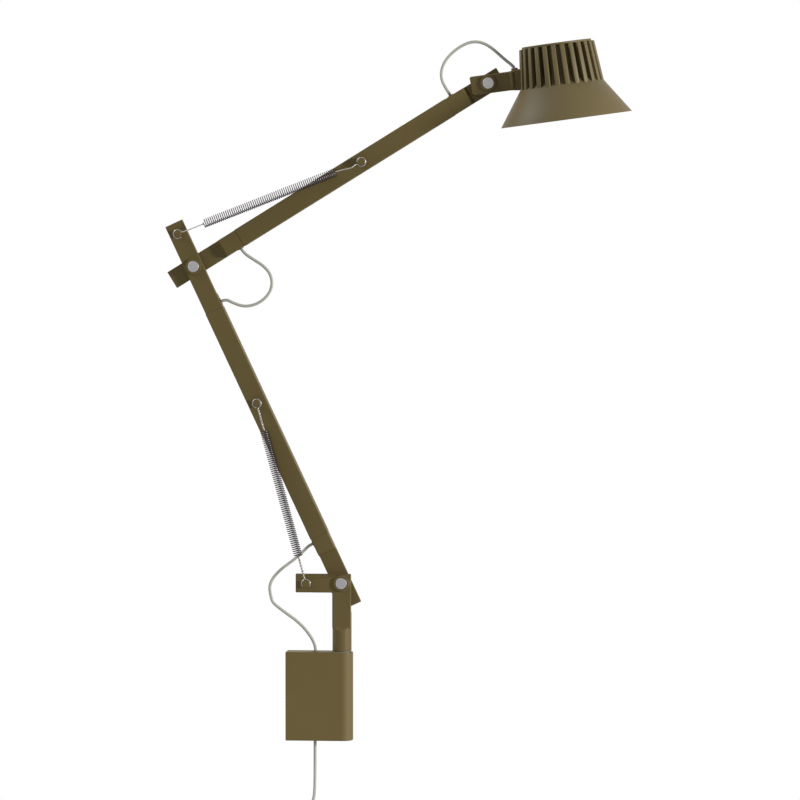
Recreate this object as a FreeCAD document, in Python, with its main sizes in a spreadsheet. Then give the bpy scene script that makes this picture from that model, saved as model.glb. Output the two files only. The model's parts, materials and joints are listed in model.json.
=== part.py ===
import FreeCAD, Part
import math
import os
import re

import Sketcher

# Articulating wall lamp, in millimetres. The wall is the plane X = 0 and +X points away from it,
# +Z is up, and the arms move in the plane Y = 0 when the post is at rest. -Y is the front.

os.makedirs("parts", exist_ok=True)
doc = FreeCAD.newDocument("wall_lamp")
sheet = doc.addObject("Spreadsheet::Sheet", "Sizes")

SIZES = [
    ("box_length", 84.0, "wall face to the tip of the round nose"),
    ("box_height", 111.6, "wall box, bottom to top"),
    ("box_thick", 28.0, "wall box across, twice the nose radius"),
    ("box_wall", 3.0, "wall of the box"),
    ("box_hollow", 50.0, "depth of the box cavity from the wall"),
    ("box_edge", 0.9, "bevel of the box edges"),
    ("plate_thick", 3.0, "steel plate that is screwed to the wall"),
    ("plate_gap", 0.3, "gap between plate and box"),
    ("wall_hole_radius", 2.5, "holes for the wall screws"),
    ("wall_hole_spacing", 70.0, "wall screw to wall screw"),
    ("lug_length", 14.0, "lug of the plate that takes the box screw"),
    ("lug_thick", 6.0, "thickness of the lug"),
    ("box_screw_radius", 2.0, "screw that holds the box on its plate"),
    ("post_radius", 12.0, "swivel post above the box"),
    ("tip_gap", 6.3, "end of the lower arm's foot to the top of the post"),
    ("post_gap", 0.3, "gap between post shoulder and bush"),
    ("spigot_radius", 8.0, "post inside the box"),
    ("spigot_depth", 40.0, "bottom of the spigot below the box centre"),
    ("bush_wall", 2.0, "wall of the post bushes"),
    ("bush_length", 18.0, "length of a post bush"),
    ("bush_flange", 1.5, "flange of a post bush"),
    ("running_gap", 0.05, "radial play of a turning fit"),
    ("seat_gap", 0.03, "radial play of a fixed fit"),
    ("stop_screw_radius", 2.0, "screw that stops the swivel"),
    ("stop_depth", 1.5, "depth of the stop groove"),
    ("stop_half_angle", 109.0, "half the sweep of the stop groove"),
    ("flat_depth", 8.0, "post axis to the flat front of the bracket"),
    ("flat_length", 17.6, "flat front of the post, from its top down"),
    ("bracket_width", 23.4, "width of the bracket's two legs"),
    ("bracket_reach", 57.7, "post axis to the end of the flat leg"),
    ("shoulder_height", 141.9, "shoulder pivot above the box centre"),
    ("bracket_peg", 44.0, "shoulder pivot to the spring peg on the bracket"),
    ("edge_bevel", 0.7, "bevel of cast edges"),
    ("corner_round", 1.6, "inner corner of the bracket"),
    ("relief_sides", 12.0, "sides of the lead's relief"),
    ("lap_gap", 1.2, "space between two lapped tongues"),
    ("washer_thick", 0.9, "friction washer"),
    ("washer_radius", 9.0, "friction washer"),
    ("pin_radius", 4.0, "pivot pin"),
    ("pin_head_radius", 7.0, "bright head of a pivot pin"),
    ("pin_head_thick", 2.4, "bright head of a pivot pin"),
    ("pin_proud", 0.6, "head above its collar"),
    ("collar_radius", 9.7, "collar round a pin head"),
    ("collar_height", 3.0, "collar above the bracket's face"),
    ("nut_recess_radius", 8.2, "recess of a pivot nut"),
    ("nut_recess_depth", 4.0, "recess of a pivot nut"),
    ("nut_radius", 7.5, "pivot nut across its corners, halved"),
    ("nut_gap", 0.3, "gap between nut and recess floor"),
    ("arm_width", 24.0, "arm tube, across the face that shows"),
    ("arm_depth", 16.0, "arm tube, front to back"),
    ("arm_wall", 1.5, "wall of the arm tube"),
    ("arm_edge", 1.0, "rounding of the tube edges"),
    ("fitting_inset", 0.4, "end fitting set in from the tube's faces"),
    ("plug_length", 20.0, "end fitting inside the tube"),
    ("plug_gap", 0.15, "gap between fitting and tube bore"),
    ("lap_slope", 4.4, "length of the slope at a lap's step"),
    ("lower_length", 437.7, "shoulder pivot to elbow pivot"),
    ("lower_angle", 115.1, "lower arm above +X, in degrees"),
    ("upper_length", 435.0, "elbow pivot to head pivot"),
    ("upper_angle", 31.8, "upper arm above +X, in degrees"),
    ("shoulder_tip", 31.2, "lower arm's foot beyond the shoulder pivot"),
    ("shoulder_step", 41.0, "shoulder pivot to the lap's step"),
    ("shoulder_hole", 60.0, "shoulder pivot to the lead hole"),
    ("shoulder_seam", 66.0, "shoulder pivot to the tube"),
    ("elbow_tip", 59.6, "lower arm's end beyond the elbow pivot"),
    ("elbow_step", 41.0, "elbow pivot to the lower arm's step"),
    ("elbow_hole", 54.0, "elbow pivot to the lower arm's lead hole"),
    ("elbow_seam", 61.0, "elbow pivot to the lower tube"),
    ("elbow_peg", 45.0, "elbow pivot to the spring peg beyond it"),
    ("foot_tip", 33.1, "upper arm's foot beyond the elbow pivot"),
    ("foot_step", 39.5, "elbow pivot to the upper arm's step"),
    ("foot_hole", 62.0, "elbow pivot to the upper arm's lead hole"),
    ("foot_seam", 68.0, "elbow pivot to the upper tube"),
    ("neck_tip", 17.5, "upper arm's end beyond the head pivot"),
    ("neck_step", 27.6, "head pivot to the upper arm's step"),
    ("neck_hole", 49.0, "head pivot to the upper arm's lead hole"),
    ("neck_seam", 57.0, "head pivot to the upper tube"),
    ("lower_peg", 249.0, "shoulder pivot to the peg on the lower arm"),
    ("upper_peg", 249.0, "elbow pivot to the peg on the upper arm"),
    ("peg_radius", 4.6, "spring peg"),
    ("peg_height", 9.5, "spring peg above the arm's face"),
    ("peg_seat", 3.0, "depth of a peg's seat in a casting"),
    ("spring_lift", 6.5, "spring axis above the arm's face"),
    ("spring_radius", 5.1, "middle of the wire to the spring's axis"),
    ("spring_wire", 1.0, "wire of the springs"),
    ("spring_ring_gap", 0.6, "wire ring to its peg"),
    ("spring_shank", 5.0, "ring of a spring to the straight part of its hook"),
    ("spring_hook", 35.0, "peg to the first turn of a spring"),
    ("spring_turns", 20.0, "turns of a spring"),
    ("lead_thick", 3.8, "diameter of the lead"),
    ("lead_gap", 0.1, "radial gap round the lead"),
    ("grommet_radius", 3.2, "grommet in its hole"),
    ("grommet_flange_radius", 4.2, "grommet flange"),
    ("grommet_flange", 0.8, "grommet flange"),
    ("grommet_length", 3.0, "grommet inside its hole"),
    ("channel_half", 2.6, "half the width of a lead channel"),
    ("top_lead", 36.6, "wall to the lead in the box's top"),
    ("bottom_lead", 36.0, "wall to the lead in the box's bottom"),
    ("block_width", 16.0, "terminal block"),
    ("block_height", 18.0, "terminal block"),
    ("block_front", 4.0, "front of the terminal block before the lead"),
    ("clamp_width", 12.0, "cord clamp"),
    ("clamp_height", 10.0, "cord clamp"),
    ("clamp_front", 5.0, "front of the cord clamp before the lead"),
    ("clamp_rise", 10.0, "cord clamp above the floor of the box"),
    ("head_tilt", 7.7, "head above level, in degrees"),
    ("head_reach", 90.0, "head pivot to the axis of the head"),
    ("head_tip", 22.8, "head bracket beyond the pivot"),
    ("head_slant", 1.6, "slant of the bracket's free end"),
    ("head_bar", 21.6, "height of the bracket at the pivot"),
    ("head_root", 24.4, "height of the bracket at the heat sink"),
    ("head_belly", 1.9, "the bracket reaches lower than its pivot's middle by this"),
    ("head_step", 26.0, "head pivot to the lap's step"),
    ("head_depth", 16.0, "thickness of the head bracket"),
    ("head_hole", 34.0, "head pivot to the lead hole in the bracket"),
    ("head_gland", 1.2, "boss round that hole"),
    ("head_round", 2.4, "corners of the bracket's free end"),
    ("head_bevel", 1.2, "bevel of the head bracket"),
    ("bracket_screw_rise", 7.0, "screws of the head bracket, from its middle"),
    ("notch_gap", 0.3, "gap between bracket and heat sink"),
    ("rim_radius", 82.2, "rim of the shade"),
    ("rim_depth", 58.0, "rim of the shade below the head pivot's level"),
    ("shade_wall", 1.9, "wall of the shade, measured level"),
    ("neck_radius", 52.7, "shade where the fins begin"),
    ("neck_depth", 15.2, "that place below the head pivot's level"),
    ("fin_height", 35.4, "top of the fins"),
    ("fin_top_radius", 47.0, "fins at the top"),
    ("fin_count", 26.0, "fins round the heat sink"),
    ("fin_thick", 6.6, "thickness of a fin"),
    ("fin_inset", 0.2, "fins set in from the edge of the shade"),
    ("core_radius", 40.0, "core of the heat sink"),
    ("core_wall", 3.0, "wall of the core"),
    ("floor_height", 7.2, "rise of the gap floor from the shade to the core"),
    ("web_depth", 9.0, "top of the web below the head pivot's level"),
    ("web_thick", 5.0, "web that carries the light source"),
    ("well_radius", 46.0, "well under the web"),
    ("ledge_depth", 22.9, "ledge of the diffuser ring below the pivot's level"),
    ("cap_radius", 43.5, "top cap"),
    ("cap_thick", 2.7, "top cap"),
    ("cap_lip", 4.0, "lip of the top cap"),
    ("board_radius", 30.0, "circuit board of the light source"),
    ("board_thick", 1.6, "circuit board of the light source"),
    ("chip_radius", 11.0, "light source"),
    ("chip_thick", 1.4, "light source"),
    ("reflector_throat", 14.5, "inner edge of the reflector"),
    ("reflector_thick", 1.0, "reflector"),
    ("diffuser_radius", 49.5, "diffuser"),
    ("diffuser_thick", 2.0, "diffuser"),
    ("ring_inner_radius", 44.0, "inner edge of the diffuser ring"),
    ("ring_outer_radius", 55.4, "outer edge of the diffuser ring"),
    ("spot_face", 0.4, "flat for a screw head inside the core"),
    ("screw_radius", 1.5, "small screws"),
    ("screw_head", 2.7, "head of a small screw"),
    ("ring_lip", 2.5, "diffuser ring under the diffuser"),
    ("hank_run", 75.0, "straight run of the stored lead"),
    ("hank_inner", 12.5, "smallest turn of the stored lead"),
    ("hank_step", 4.3, "turn to turn in the stored lead"),
    ("hank_depth", 180.0, "top of the runs below the box centre"),
    ("tie_height", 10.0, "tie round the stored lead"),
    ("tie_thick", 1.2, "tie round the stored lead"),
    ("plug_depth", 292.0, "top of the adaptor's relief below the box centre"),
    ("plug_width", 34.0, "mains adaptor, across"),
    ("plug_deep", 28.0, "mains adaptor, front to back"),
    ("plug_tall", 52.0, "mains adaptor, top to bottom"),
    ("plug_round", 5.0, "corners of the mains adaptor"),
    ("plug_pin_radius", 2.0, "contact pins"),
    ("plug_pin_length", 19.0, "contact pins"),
    ("plug_pin_spacing", 19.0, "contact pin to contact pin"),
    ("relief_length", 24.0, "tapered relief on the adaptor"),
    ("relief_radius", 4.2, "relief at the adaptor"),
]

for row, (alias, size, note) in enumerate(SIZES, start=1):
    sheet.set(f"A{row}", note)
    sheet.set(f"B{row}", str(size))
    sheet.setAlias(f"B{row}", alias)
doc.recompute()

ALIASES = {alias for alias, size, note in SIZES}
WORD = re.compile(r"[a-z][a-z_]+")


def scoped(formula):
    """Puts the sheet's name before each size that a formula uses."""
    return WORD.sub(lambda found: f"Sizes.{found[0]}" if found[0] in ALIASES else found[0], str(formula))


def number(formula):
    return float(sheet.evalExpression(scoped(formula)))


def bind(item, prop, formula):
    item.setExpression(prop, scoped(formula))


# Places that several pieces share, as formulas of the sizes above.
POST = "(box_length - box_thick / 2)"
BOX_TOP = "(box_height / 2)"
POST_TOP = "(shoulder_height - shoulder_tip - tip_gap)"
FLAT_BOTTOM = f"({POST_TOP} - flat_length)"
SHOULDER = (POST, "shoulder_height")
ELBOW = (
    f"({POST} + lower_length * cos(lower_angle))",
    "(shoulder_height + lower_length * sin(lower_angle))",
)
WRIST = (
    f"({ELBOW[0]} + upper_length * cos(upper_angle))",
    f"({ELBOW[1]} + upper_length * sin(upper_angle))",
)
HEAD_AXIS = (
    f"({WRIST[0]} + head_reach * cos(head_tilt))",
    f"({WRIST[1]} + head_reach * sin(head_tilt))",
)
FITTING_DEPTH = "(arm_depth / 2 - fitting_inset)"
FITTING_WIDTH = "(arm_width - 2 * fitting_inset)"
LAP = "(lap_gap / 2)"
TUBE_FACE = "(arm_depth / 2)"
CONE_RUN = "(rim_radius - neck_radius)"
CONE_DROP = "(rim_depth - neck_depth)"


def along(place, angle, reach, aside="0"):
    """The point at a reach along a direction from a place, and aside to its left."""
    x = f"({place[0]} + ({reach}) * cos({angle}) - ({aside}) * sin({angle}))"
    z = f"({place[1]} + ({reach}) * sin({angle}) + ({aside}) * cos({angle}))"
    return x, z


def put(item, place, angle=None, across=False):
    """Places a piece: turned up by an angle in the XZ plane, or with its axis across the arms."""
    if across:
        item.Placement = FreeCAD.Placement(FreeCAD.Vector(), FreeCAD.Rotation(FreeCAD.Vector(1, 0, 0), 90))
    elif angle is not None:
        turned = FreeCAD.Rotation(FreeCAD.Vector(0, -1, 0), number(angle))
        item.Placement = FreeCAD.Placement(FreeCAD.Vector(), turned)
        bind(item, "Placement.Rotation.Angle", angle)
    bind(item, "Placement.Base.x", place[0])
    bind(item, "Placement.Base.z", place[1])


def new_body(label):
    body = doc.addObject("PartDesign::Body", label)
    body.Label = label
    return body


def sketch_on(body, name, role, right="0", up="0", away="0"):
    """A sketch on one of the body's own origin planes, moved by three formulas."""
    sketch = body.newObject("Sketcher::SketchObject", name)
    plane = next(item for item in body.Origin.OriginFeatures if item.Role == role)
    sketch.AttachmentSupport = (plane, [""])
    sketch.MapMode = "FlatFace"
    for axis, formula in zip("xyz", (right, up, away)):
        if formula != "0":
            bind(sketch, f"AttachmentOffset.Base.{axis}", formula)
    return sketch


def hold(sketch, side, x, y, end=1):
    """Holds one end of a side at two formulas from the sketch's origin."""
    for kind, axis, formula in (("DistanceX", -2, x), ("DistanceY", -1, y)):
        if formula == "0":
            sketch.addConstraint(Sketcher.Constraint("PointOnObject", side, end, axis))
        else:
            index = sketch.addConstraint(Sketcher.Constraint(kind, -1, 1, side, end, number(formula)))
            bind(sketch, f"Constraints[{index}]", formula)


def outline(sketch, corners, arcs=()):
    """A closed loop. arcs holds the numbers of the sides that are half circles, drawn anticlockwise."""
    first = sketch.GeometryCount
    places = [FreeCAD.Vector(number(x), number(y), 0) for x, y in corners]
    for side, start in enumerate(places):
        end = places[(side + 1) % len(places)]
        if side in arcs:
            middle = (start + end) / 2
            angle = math.atan2(start.y - middle.y, start.x - middle.x)
            circle = Part.Circle(middle, FreeCAD.Vector(0, 0, 1), (end - start).Length / 2)
            sketch.addGeometry(Part.ArcOfCircle(circle, angle, angle + math.pi), False)
        else:
            sketch.addGeometry(Part.LineSegment(start, end), False)
    for side, (x, y) in enumerate(corners):
        following = (side + 1) % len(corners)
        joined = "Tangent" if side in arcs else "Coincident"
        sketch.addConstraint(Sketcher.Constraint(joined, first + side, 2, first + following, 1))
        hold(sketch, first + side, x, y)
    return sketch


def hole(sketch, x, y, radius):
    """A circle in a sketch, held by formulas."""
    middle = FreeCAD.Vector(number(x), number(y), 0)
    index = sketch.addGeometry(Part.Circle(middle, FreeCAD.Vector(0, 0, 1), number(radius)), False)
    hold(sketch, index, x, y, end=3)
    size = sketch.addConstraint(Sketcher.Constraint("Radius", index, number(radius)))
    bind(sketch, f"Constraints[{size}]", radius)
    return sketch


def extrude(body, name, sketch, length, cut=False, both=False, back=False):
    feature = body.newObject("PartDesign::Pocket" if cut else "PartDesign::Pad", name)
    feature.Profile = sketch
    bind(feature, "Length", length)
    feature.SideType = "Symmetric" if both else "One side"
    feature.Reversed = back
    return feature


def spin(body, name, sketch, cut=False, half_angle=None):
    """Turns a sketch about its own upright axis, all round or to both sides by an angle."""
    feature = body.newObject("PartDesign::Groove" if cut else "PartDesign::Revolution", name)
    feature.Profile = sketch
    feature.ReferenceAxis = (sketch, ["V_Axis"])
    if half_angle:
        feature.Midplane = True
        bind(feature, "Angle", f"2 * {half_angle}")
    else:
        feature.Angle = 360
    return feature


def soften(body, name, size, wanted, kind="Fillet"):
    """Rounds or bevels the edges of the body that the test picks."""
    doc.recompute()
    base = body.Tip
    edges = [f"Edge{i}" for i, edge in enumerate(base.Shape.Edges, start=1) if wanted(edge)]
    feature = body.newObject(f"PartDesign::{kind}", name)
    feature.Base = (base, edges)
    bind(feature, "Radius" if kind == "Fillet" else "Size", size)
    return feature


def is_line(edge, direction, shortest=1.0):
    """True for a straight edge along a direction, of at least a length."""
    if edge.Curve.TypeId != "Part::GeomLine" or edge.Length < shortest:
        return False
    return abs(edge.Curve.Direction.dot(direction)) > 0.999


def turned(label, profile, place, angle=None, across=False):
    """A turned piece: pairs of radius and height, spun about its own Z axis."""
    body = new_body(label)
    spin(body, f"{label}_turning", outline(sketch_on(body, f"{label}_profile", "XZ_Plane"), profile))
    put(body, place, angle, across)
    return body


def group(label, pieces):
    """Several separate solids under one name."""
    together = doc.addObject("Part::Compound", label)
    together.Label = label
    together.Links = pieces
    return together


X_WAY = FreeCAD.Vector(1, 0, 0)
Y_WAY = FreeCAD.Vector(0, 1, 0)
Z_WAY = FreeCAD.Vector(0, 0, 1)


# Wall box: plate on the wall, hollow housing with a round nose, and what they hold.
def wall_plate():
    body = new_body("wall_plate")
    inner_depth = "(box_thick - 2 * box_wall - 2 * plate_gap)"
    inner_height = "(box_height - 2 * box_wall - 2 * plate_gap)"
    face = outline(
        sketch_on(body, "plate_face", "YZ_Plane"),
        [
            (f"-{inner_depth} / 2", f"-{inner_height} / 2"),
            (f"{inner_depth} / 2", f"-{inner_height} / 2"),
            (f"{inner_depth} / 2", f"{inner_height} / 2"),
            (f"-{inner_depth} / 2", f"{inner_height} / 2"),
        ],
    )
    for way in ("", "-"):
        hole(face, "0", f"{way}wall_hole_spacing / 2", "wall_hole_radius")
    extrude(body, "plate", face, "plate_thick")
    lug = outline(
        sketch_on(body, "lug_side", "XZ_Plane"),
        [
            ("plate_thick / 2", f"-{inner_height} / 2"),
            ("plate_thick + lug_length", f"-{inner_height} / 2"),
            ("plate_thick + lug_length", f"lug_thick - {inner_height} / 2"),
            ("plate_thick / 2", f"lug_thick - {inner_height} / 2"),
        ],
    )
    extrude(body, "lug", lug, f"{inner_depth} * 0.6", both=True)
    thread = hole(sketch_on(body, "lug_hole", "XY_Plane"), LUG_SCREW, "0", "box_screw_radius + seat_gap")
    extrude(body, "lug_thread", thread, "box_height", cut=True, back=False)
    return body


LUG_SCREW = "(plate_thick + lug_length / 2)"


def box_housing():
    body = new_body("box_housing")
    nose = "(box_thick / 2)"
    shape = outline(
        sketch_on(body, "housing_plan", "XY_Plane"),
        [("0", f"-{nose}"), (POST, f"-{nose}"), (POST, nose), ("0", nose)],
        arcs=[1],
    )
    extrude(body, "housing_block", shape, "box_height", both=True)
    soften(
        body,
        "housing_edges",
        "box_edge",
        lambda edge: edge.BoundBox.ZLength < 0.01 and edge.BoundBox.XMax > 1.0,
        kind="Chamfer",
    )
    inside_depth = "(box_thick / 2 - box_wall)"
    inside_height = "(box_height / 2 - box_wall)"
    mouth = outline(
        sketch_on(body, "housing_mouth", "YZ_Plane"),
        [
            (f"-{inside_depth}", f"-{inside_height}"),
            (inside_depth, f"-{inside_height}"),
            (inside_depth, inside_height),
            (f"-{inside_depth}", inside_height),
        ],
    )
    extrude(body, "housing_hollow", mouth, "box_hollow", cut=True, back=True)
    bush = "(spigot_radius + running_gap + bush_wall)"
    bore = outline(
        sketch_on(body, "post_bore_profile", "XZ_Plane", right=POST),
        [
            ("0", "-(spigot_depth + 2)"),
            (f"{bush} + seat_gap", "-(spigot_depth + 2)"),
            (f"{bush} + seat_gap", f"{BOX_TOP} - bush_flange + post_gap"),
            ("post_radius - 0.3", f"{BOX_TOP} - bush_flange + post_gap"),
            ("post_radius - 0.3", f"{BOX_TOP} + 1"),
            ("0", f"{BOX_TOP} + 1"),
        ],
    )
    spin(body, "post_bore", bore, cut=True)
    for name, x, way in (("top_lead_hole", "top_lead", True), ("bottom_lead_hole", "bottom_lead", False)):
        ring = hole(sketch_on(body, f"{name}_circle", "XY_Plane"), x, "0", "grommet_radius + seat_gap")
        extrude(body, name, ring, "box_height", cut=True, back=way)
    screw = hole(sketch_on(body, "box_screw_circle", "XY_Plane"), LUG_SCREW, "0", "box_screw_radius + 0.2")
    extrude(body, "box_screw_hole", screw, "box_height", cut=True)
    sink = outline(
        sketch_on(body, "box_screw_sink_profile", "XZ_Plane", right=LUG_SCREW),
        [
            ("0", f"-({BOX_TOP} + 1)"),
            ("box_screw_radius * 1.8 + 0.1", f"-({BOX_TOP} + 1)"),
            ("box_screw_radius * 1.8 + 0.1", f"0.6 - {BOX_TOP}"),
            ("box_screw_radius + 0.1", f"0.6 + box_screw_radius * 0.8 - {BOX_TOP}"),
            ("0", f"0.6 + box_screw_radius * 0.8 - {BOX_TOP}"),
        ],
    )
    spin(body, "box_screw_sink", sink, cut=True)
    stop = hole(
        sketch_on(body, "stop_screw_circle", "YZ_Plane", away="box_hollow / 2"),
        "0",
        "0",
        "stop_screw_radius + seat_gap",
    )
    extrude(body, "stop_screw_hole", stop, f"{POST} - box_hollow / 2", cut=True, back=True)
    return body


def post_bushes():
    sleeve = "(spigot_radius + running_gap)"
    upper = turned(
        "upper_bush",
        [
            (sleeve, f"{BOX_TOP} + post_gap - bush_length"),
            (f"{sleeve} + bush_wall", f"{BOX_TOP} + post_gap - bush_length"),
            (f"{sleeve} + bush_wall", f"{BOX_TOP} + post_gap - bush_flange"),
            ("post_radius - 0.4", f"{BOX_TOP} + post_gap - bush_flange"),
            ("post_radius - 0.4", f"{BOX_TOP} + post_gap"),
            (sleeve, f"{BOX_TOP} + post_gap"),
        ],
        (POST, "0"),
    )
    lower = turned(
        "lower_bush",
        [
            (sleeve, "-(spigot_depth + 2)"),
            (f"{sleeve} + bush_wall", "-(spigot_depth + 2)"),
            (f"{sleeve} + bush_wall", "bush_length - spigot_depth - 2"),
            (sleeve, "bush_length - spigot_depth - 2"),
        ],
        (POST, "0"),
    )
    return group("post_bushes", [upper, lower])


def stop_screw():
    """Set screw from the hollow of the box into the groove of the post."""
    body = new_body("stop_screw")
    reach = f"({POST} - spigot_radius + stop_depth - post_gap)"
    start = "(box_hollow + 0.5)"
    shape = outline(
        sketch_on(body, "stop_screw_profile", "XY_Plane"),
        [
            (start, "0"),
            (start, "stop_screw_radius"),
            (f"{reach} - 0.6", "stop_screw_radius"),
            (reach, "stop_screw_radius - 0.6"),
            (reach, "0"),
        ],
    )
    feature = body.newObject("PartDesign::Revolution", "stop_screw_turning")
    feature.Profile = shape
    feature.ReferenceAxis = (shape, ["H_Axis"])
    feature.Angle = 360
    return body


def housing_screw():
    """Countersunk screw through the bottom of the box into the plate's lug."""
    bottom = f"(-{BOX_TOP})"
    return turned(
        "housing_screw",
        [
            ("0", f"{bottom} + 0.2"),
            ("box_screw_radius * 1.8", f"{bottom} + 0.2"),
            ("box_screw_radius * 1.8", f"{bottom} + 0.6"),
            ("box_screw_radius", f"{bottom} + 0.6 + box_screw_radius * 0.8"),
            ("box_screw_radius", f"{bottom} + box_wall + lug_thick"),
            ("0", f"{bottom} + box_wall + lug_thick"),
        ],
        (LUG_SCREW, "0"),
    )


def lead_bore(x, flange_out):
    """Profile of a rubber grommet whose flange lies on a face at height 0, outwards up."""
    inner = "(lead_thick / 2 + lead_gap)"
    return [
        (inner, f"{x} - grommet_length" if flange_out else f"{x} + grommet_length"),
        ("grommet_radius", f"{x} - grommet_length" if flange_out else f"{x} + grommet_length"),
        ("grommet_radius", x),
        ("grommet_flange_radius", x),
        ("grommet_flange_radius", f"{x} + grommet_flange" if flange_out else f"{x} - grommet_flange"),
        (inner, f"{x} + grommet_flange" if flange_out else f"{x} - grommet_flange"),
    ]


def box_grommets():
    top = turned("top_grommet", lead_bore(BOX_TOP, True), ("top_lead", "0"))
    bottom = turned("bottom_grommet", lead_bore(f"(-{BOX_TOP})", False), ("bottom_lead", "0"))
    return group("box_grommets", [top, bottom])


# Screw terminals in the middle of the box, on its rear wall, and the clamp that takes the pull.
BLOCK_X = "((top_lead + bottom_lead) / 2)"
BACK_WALL = "(box_thick / 2 - box_wall)"


def block_with_holes(label, x, width, low, height, front, bore_x, radius):
    """A moulded block on the box's rear wall, with upright holes."""
    body = new_body(label)
    plan = outline(
        sketch_on(body, f"{label}_plan", "XY_Plane", away=low),
        [
            (f"{x} - {width} / 2", front),
            (f"{x} + {width} / 2", front),
            (f"{x} + {width} / 2", BACK_WALL),
            (f"{x} - {width} / 2", BACK_WALL),
        ],
    )
    hole(plan, bore_x, "0", radius)
    extrude(body, f"{label}_block", plan, height)
    return body


def terminal_screws():
    screws = []
    for row in (-1, 1):
        for column in (-1, 1):
            name = f"terminal_screw_{len(screws) + 1}"
            screw = turned(
                name,
                [
                    ("0", "block_front"),
                    ("screw_radius", "block_front"),
                    ("screw_radius", "block_front + screw_head"),
                    ("0", "block_front + screw_head"),
                ],
                (f"{BLOCK_X} + {column} * block_width / 4", f"{row} * block_height / 4"),
                across=True,
            )
            screws.append(screw)
    return group("terminal_screws", screws)


# Swivel bracket: a post that turns in the box and a flat angle with two legs.
def swivel_bracket():
    body = new_body("swivel_bracket")
    post = outline(
        sketch_on(body, "post_profile", "XZ_Plane"),
        [
            ("0", "-spigot_depth"),
            ("spigot_radius", "-spigot_depth"),
            ("spigot_radius", f"{BOX_TOP} + 2 * post_gap"),
            ("post_radius", f"{BOX_TOP} + 2 * post_gap"),
            ("post_radius", POST_TOP),
            ("0", POST_TOP),
        ],
    )
    spin(body, "post", post)
    half = "(bracket_width / 2)"
    slope = "(post_radius - flat_depth + 1)"
    legs = outline(
        sketch_on(body, "legs_face", "XZ_Plane", away=LAP),
        [
            (f"-{half}", f"{FLAT_BOTTOM} - edge_bevel"),
            (half, f"{FLAT_BOTTOM} - edge_bevel"),
            (half, f"shoulder_height + {half}"),
            ("-bracket_reach", f"shoulder_height + {half}"),
            ("-bracket_reach", f"shoulder_height - {half}"),
            (f"-{half}", f"shoulder_height - {half}"),
        ],
    )
    extrude(body, "legs", legs, f"flat_depth - {LAP}")
    flat = outline(
        sketch_on(body, "flat_side", "YZ_Plane"),
        [
            ("-flat_depth", FLAT_BOTTOM),
            ("-flat_depth", f"{POST_TOP} + 1"),
            ("-(post_radius + 1)", f"{POST_TOP} + 1"),
            ("-(post_radius + 1)", f"{FLAT_BOTTOM} - {slope}"),
        ],
    )
    extrude(body, "post_flat", flat, "3 * post_radius", cut=True, both=True)
    corner = lambda edge: (
        is_line(edge, Y_WAY)
        and abs(edge.CenterOfMass.x + number(half)) < 0.1
        and abs(edge.CenterOfMass.z - number(f"shoulder_height - {half}")) < 0.1
    )
    soften(body, "legs_corner", "corner_round", corner)
    front = -number("flat_depth")
    rim = lambda edge: (
        abs(edge.BoundBox.YMin - front) < 0.01
        and abs(edge.BoundBox.YMax - front) < 0.01
        and edge.BoundBox.ZMin > number(FLAT_BOTTOM) + 0.5
    )
    soften(body, "legs_edges", "edge_bevel", rim, kind="Chamfer")
    add_collar(body, "shoulder", "flat_depth", "0", "shoulder_height")
    add_peg_hole(body, "bracket_peg_seat", "flat_depth", "-bracket_peg", "shoulder_height", "peg_seat")
    stop = "(spigot_radius - stop_depth)"
    groove = outline(
        sketch_on(body, "stop_groove_profile", "XZ_Plane"),
        [
            (f"-{stop}", "-(stop_screw_radius + post_gap)"),
            (f"-{stop}", "stop_screw_radius + post_gap"),
            ("-(spigot_radius + 1)", "stop_screw_radius + post_gap"),
            ("-(spigot_radius + 1)", "-(stop_screw_radius + post_gap)"),
        ],
    )
    spin(body, "stop_groove", groove, cut=True, half_angle="stop_half_angle")
    put(body, (POST, "0"))
    return body


def add_collar(body, name, face, x, z):
    """The collar that stands round a pin's head, with the pin's bore and the head's seat."""
    collar = outline(
        sketch_on(body, f"{name}_collar_profile", "XY_Plane", right=x, away=z),
        [
            ("0", f"1 - {face}"),
            ("collar_radius", f"1 - {face}"),
            ("collar_radius", f"-({face} + collar_height)"),
            ("0", f"-({face} + collar_height)"),
        ],
    )
    spin(body, f"{name}_collar", collar)
    seat = outline(
        sketch_on(body, f"{name}_seat_profile", "XY_Plane", right=x, away=z),
        [
            ("0", "1"),
            ("pin_radius + seat_gap", "1"),
            ("pin_radius + seat_gap", f"-({face} + collar_height + pin_proud - pin_head_thick)"),
            ("pin_head_radius + seat_gap", f"-({face} + collar_height + pin_proud - pin_head_thick)"),
            ("pin_head_radius + seat_gap", f"-({face} + collar_height + 1)"),
            ("0", f"-({face} + collar_height + 1)"),
        ],
    )
    spin(body, f"{name}_seat", seat, cut=True)


def add_peg_hole(body, name, face, x, z, depth):
    seat = outline(
        sketch_on(body, f"{name}_profile", "XY_Plane", right=x, away=z),
        [
            ("0", f"{depth} - {face}"),
            ("peg_radius + seat_gap", f"{depth} - {face}"),
            ("peg_radius + seat_gap", f"-({face} + 1)"),
            ("0", f"-({face} + 1)"),
        ],
    )
    spin(body, name, seat, cut=True)


def add_nut_seat(body, name, back):
    """The turning bore of a rear tongue and the recess of the nut behind it."""
    bore = outline(
        sketch_on(body, f"{name}_profile", "XY_Plane"),
        [
            ("0", "-1"),
            ("pin_radius + running_gap", "-1"),
            ("pin_radius + running_gap", f"{back} - nut_recess_depth"),
            ("nut_recess_radius", f"{back} - nut_recess_depth"),
            ("nut_recess_radius", f"{back} + 1"),
            ("0", f"{back} + 1"),
        ],
    )
    spin(body, name, bore, cut=True)


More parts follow.
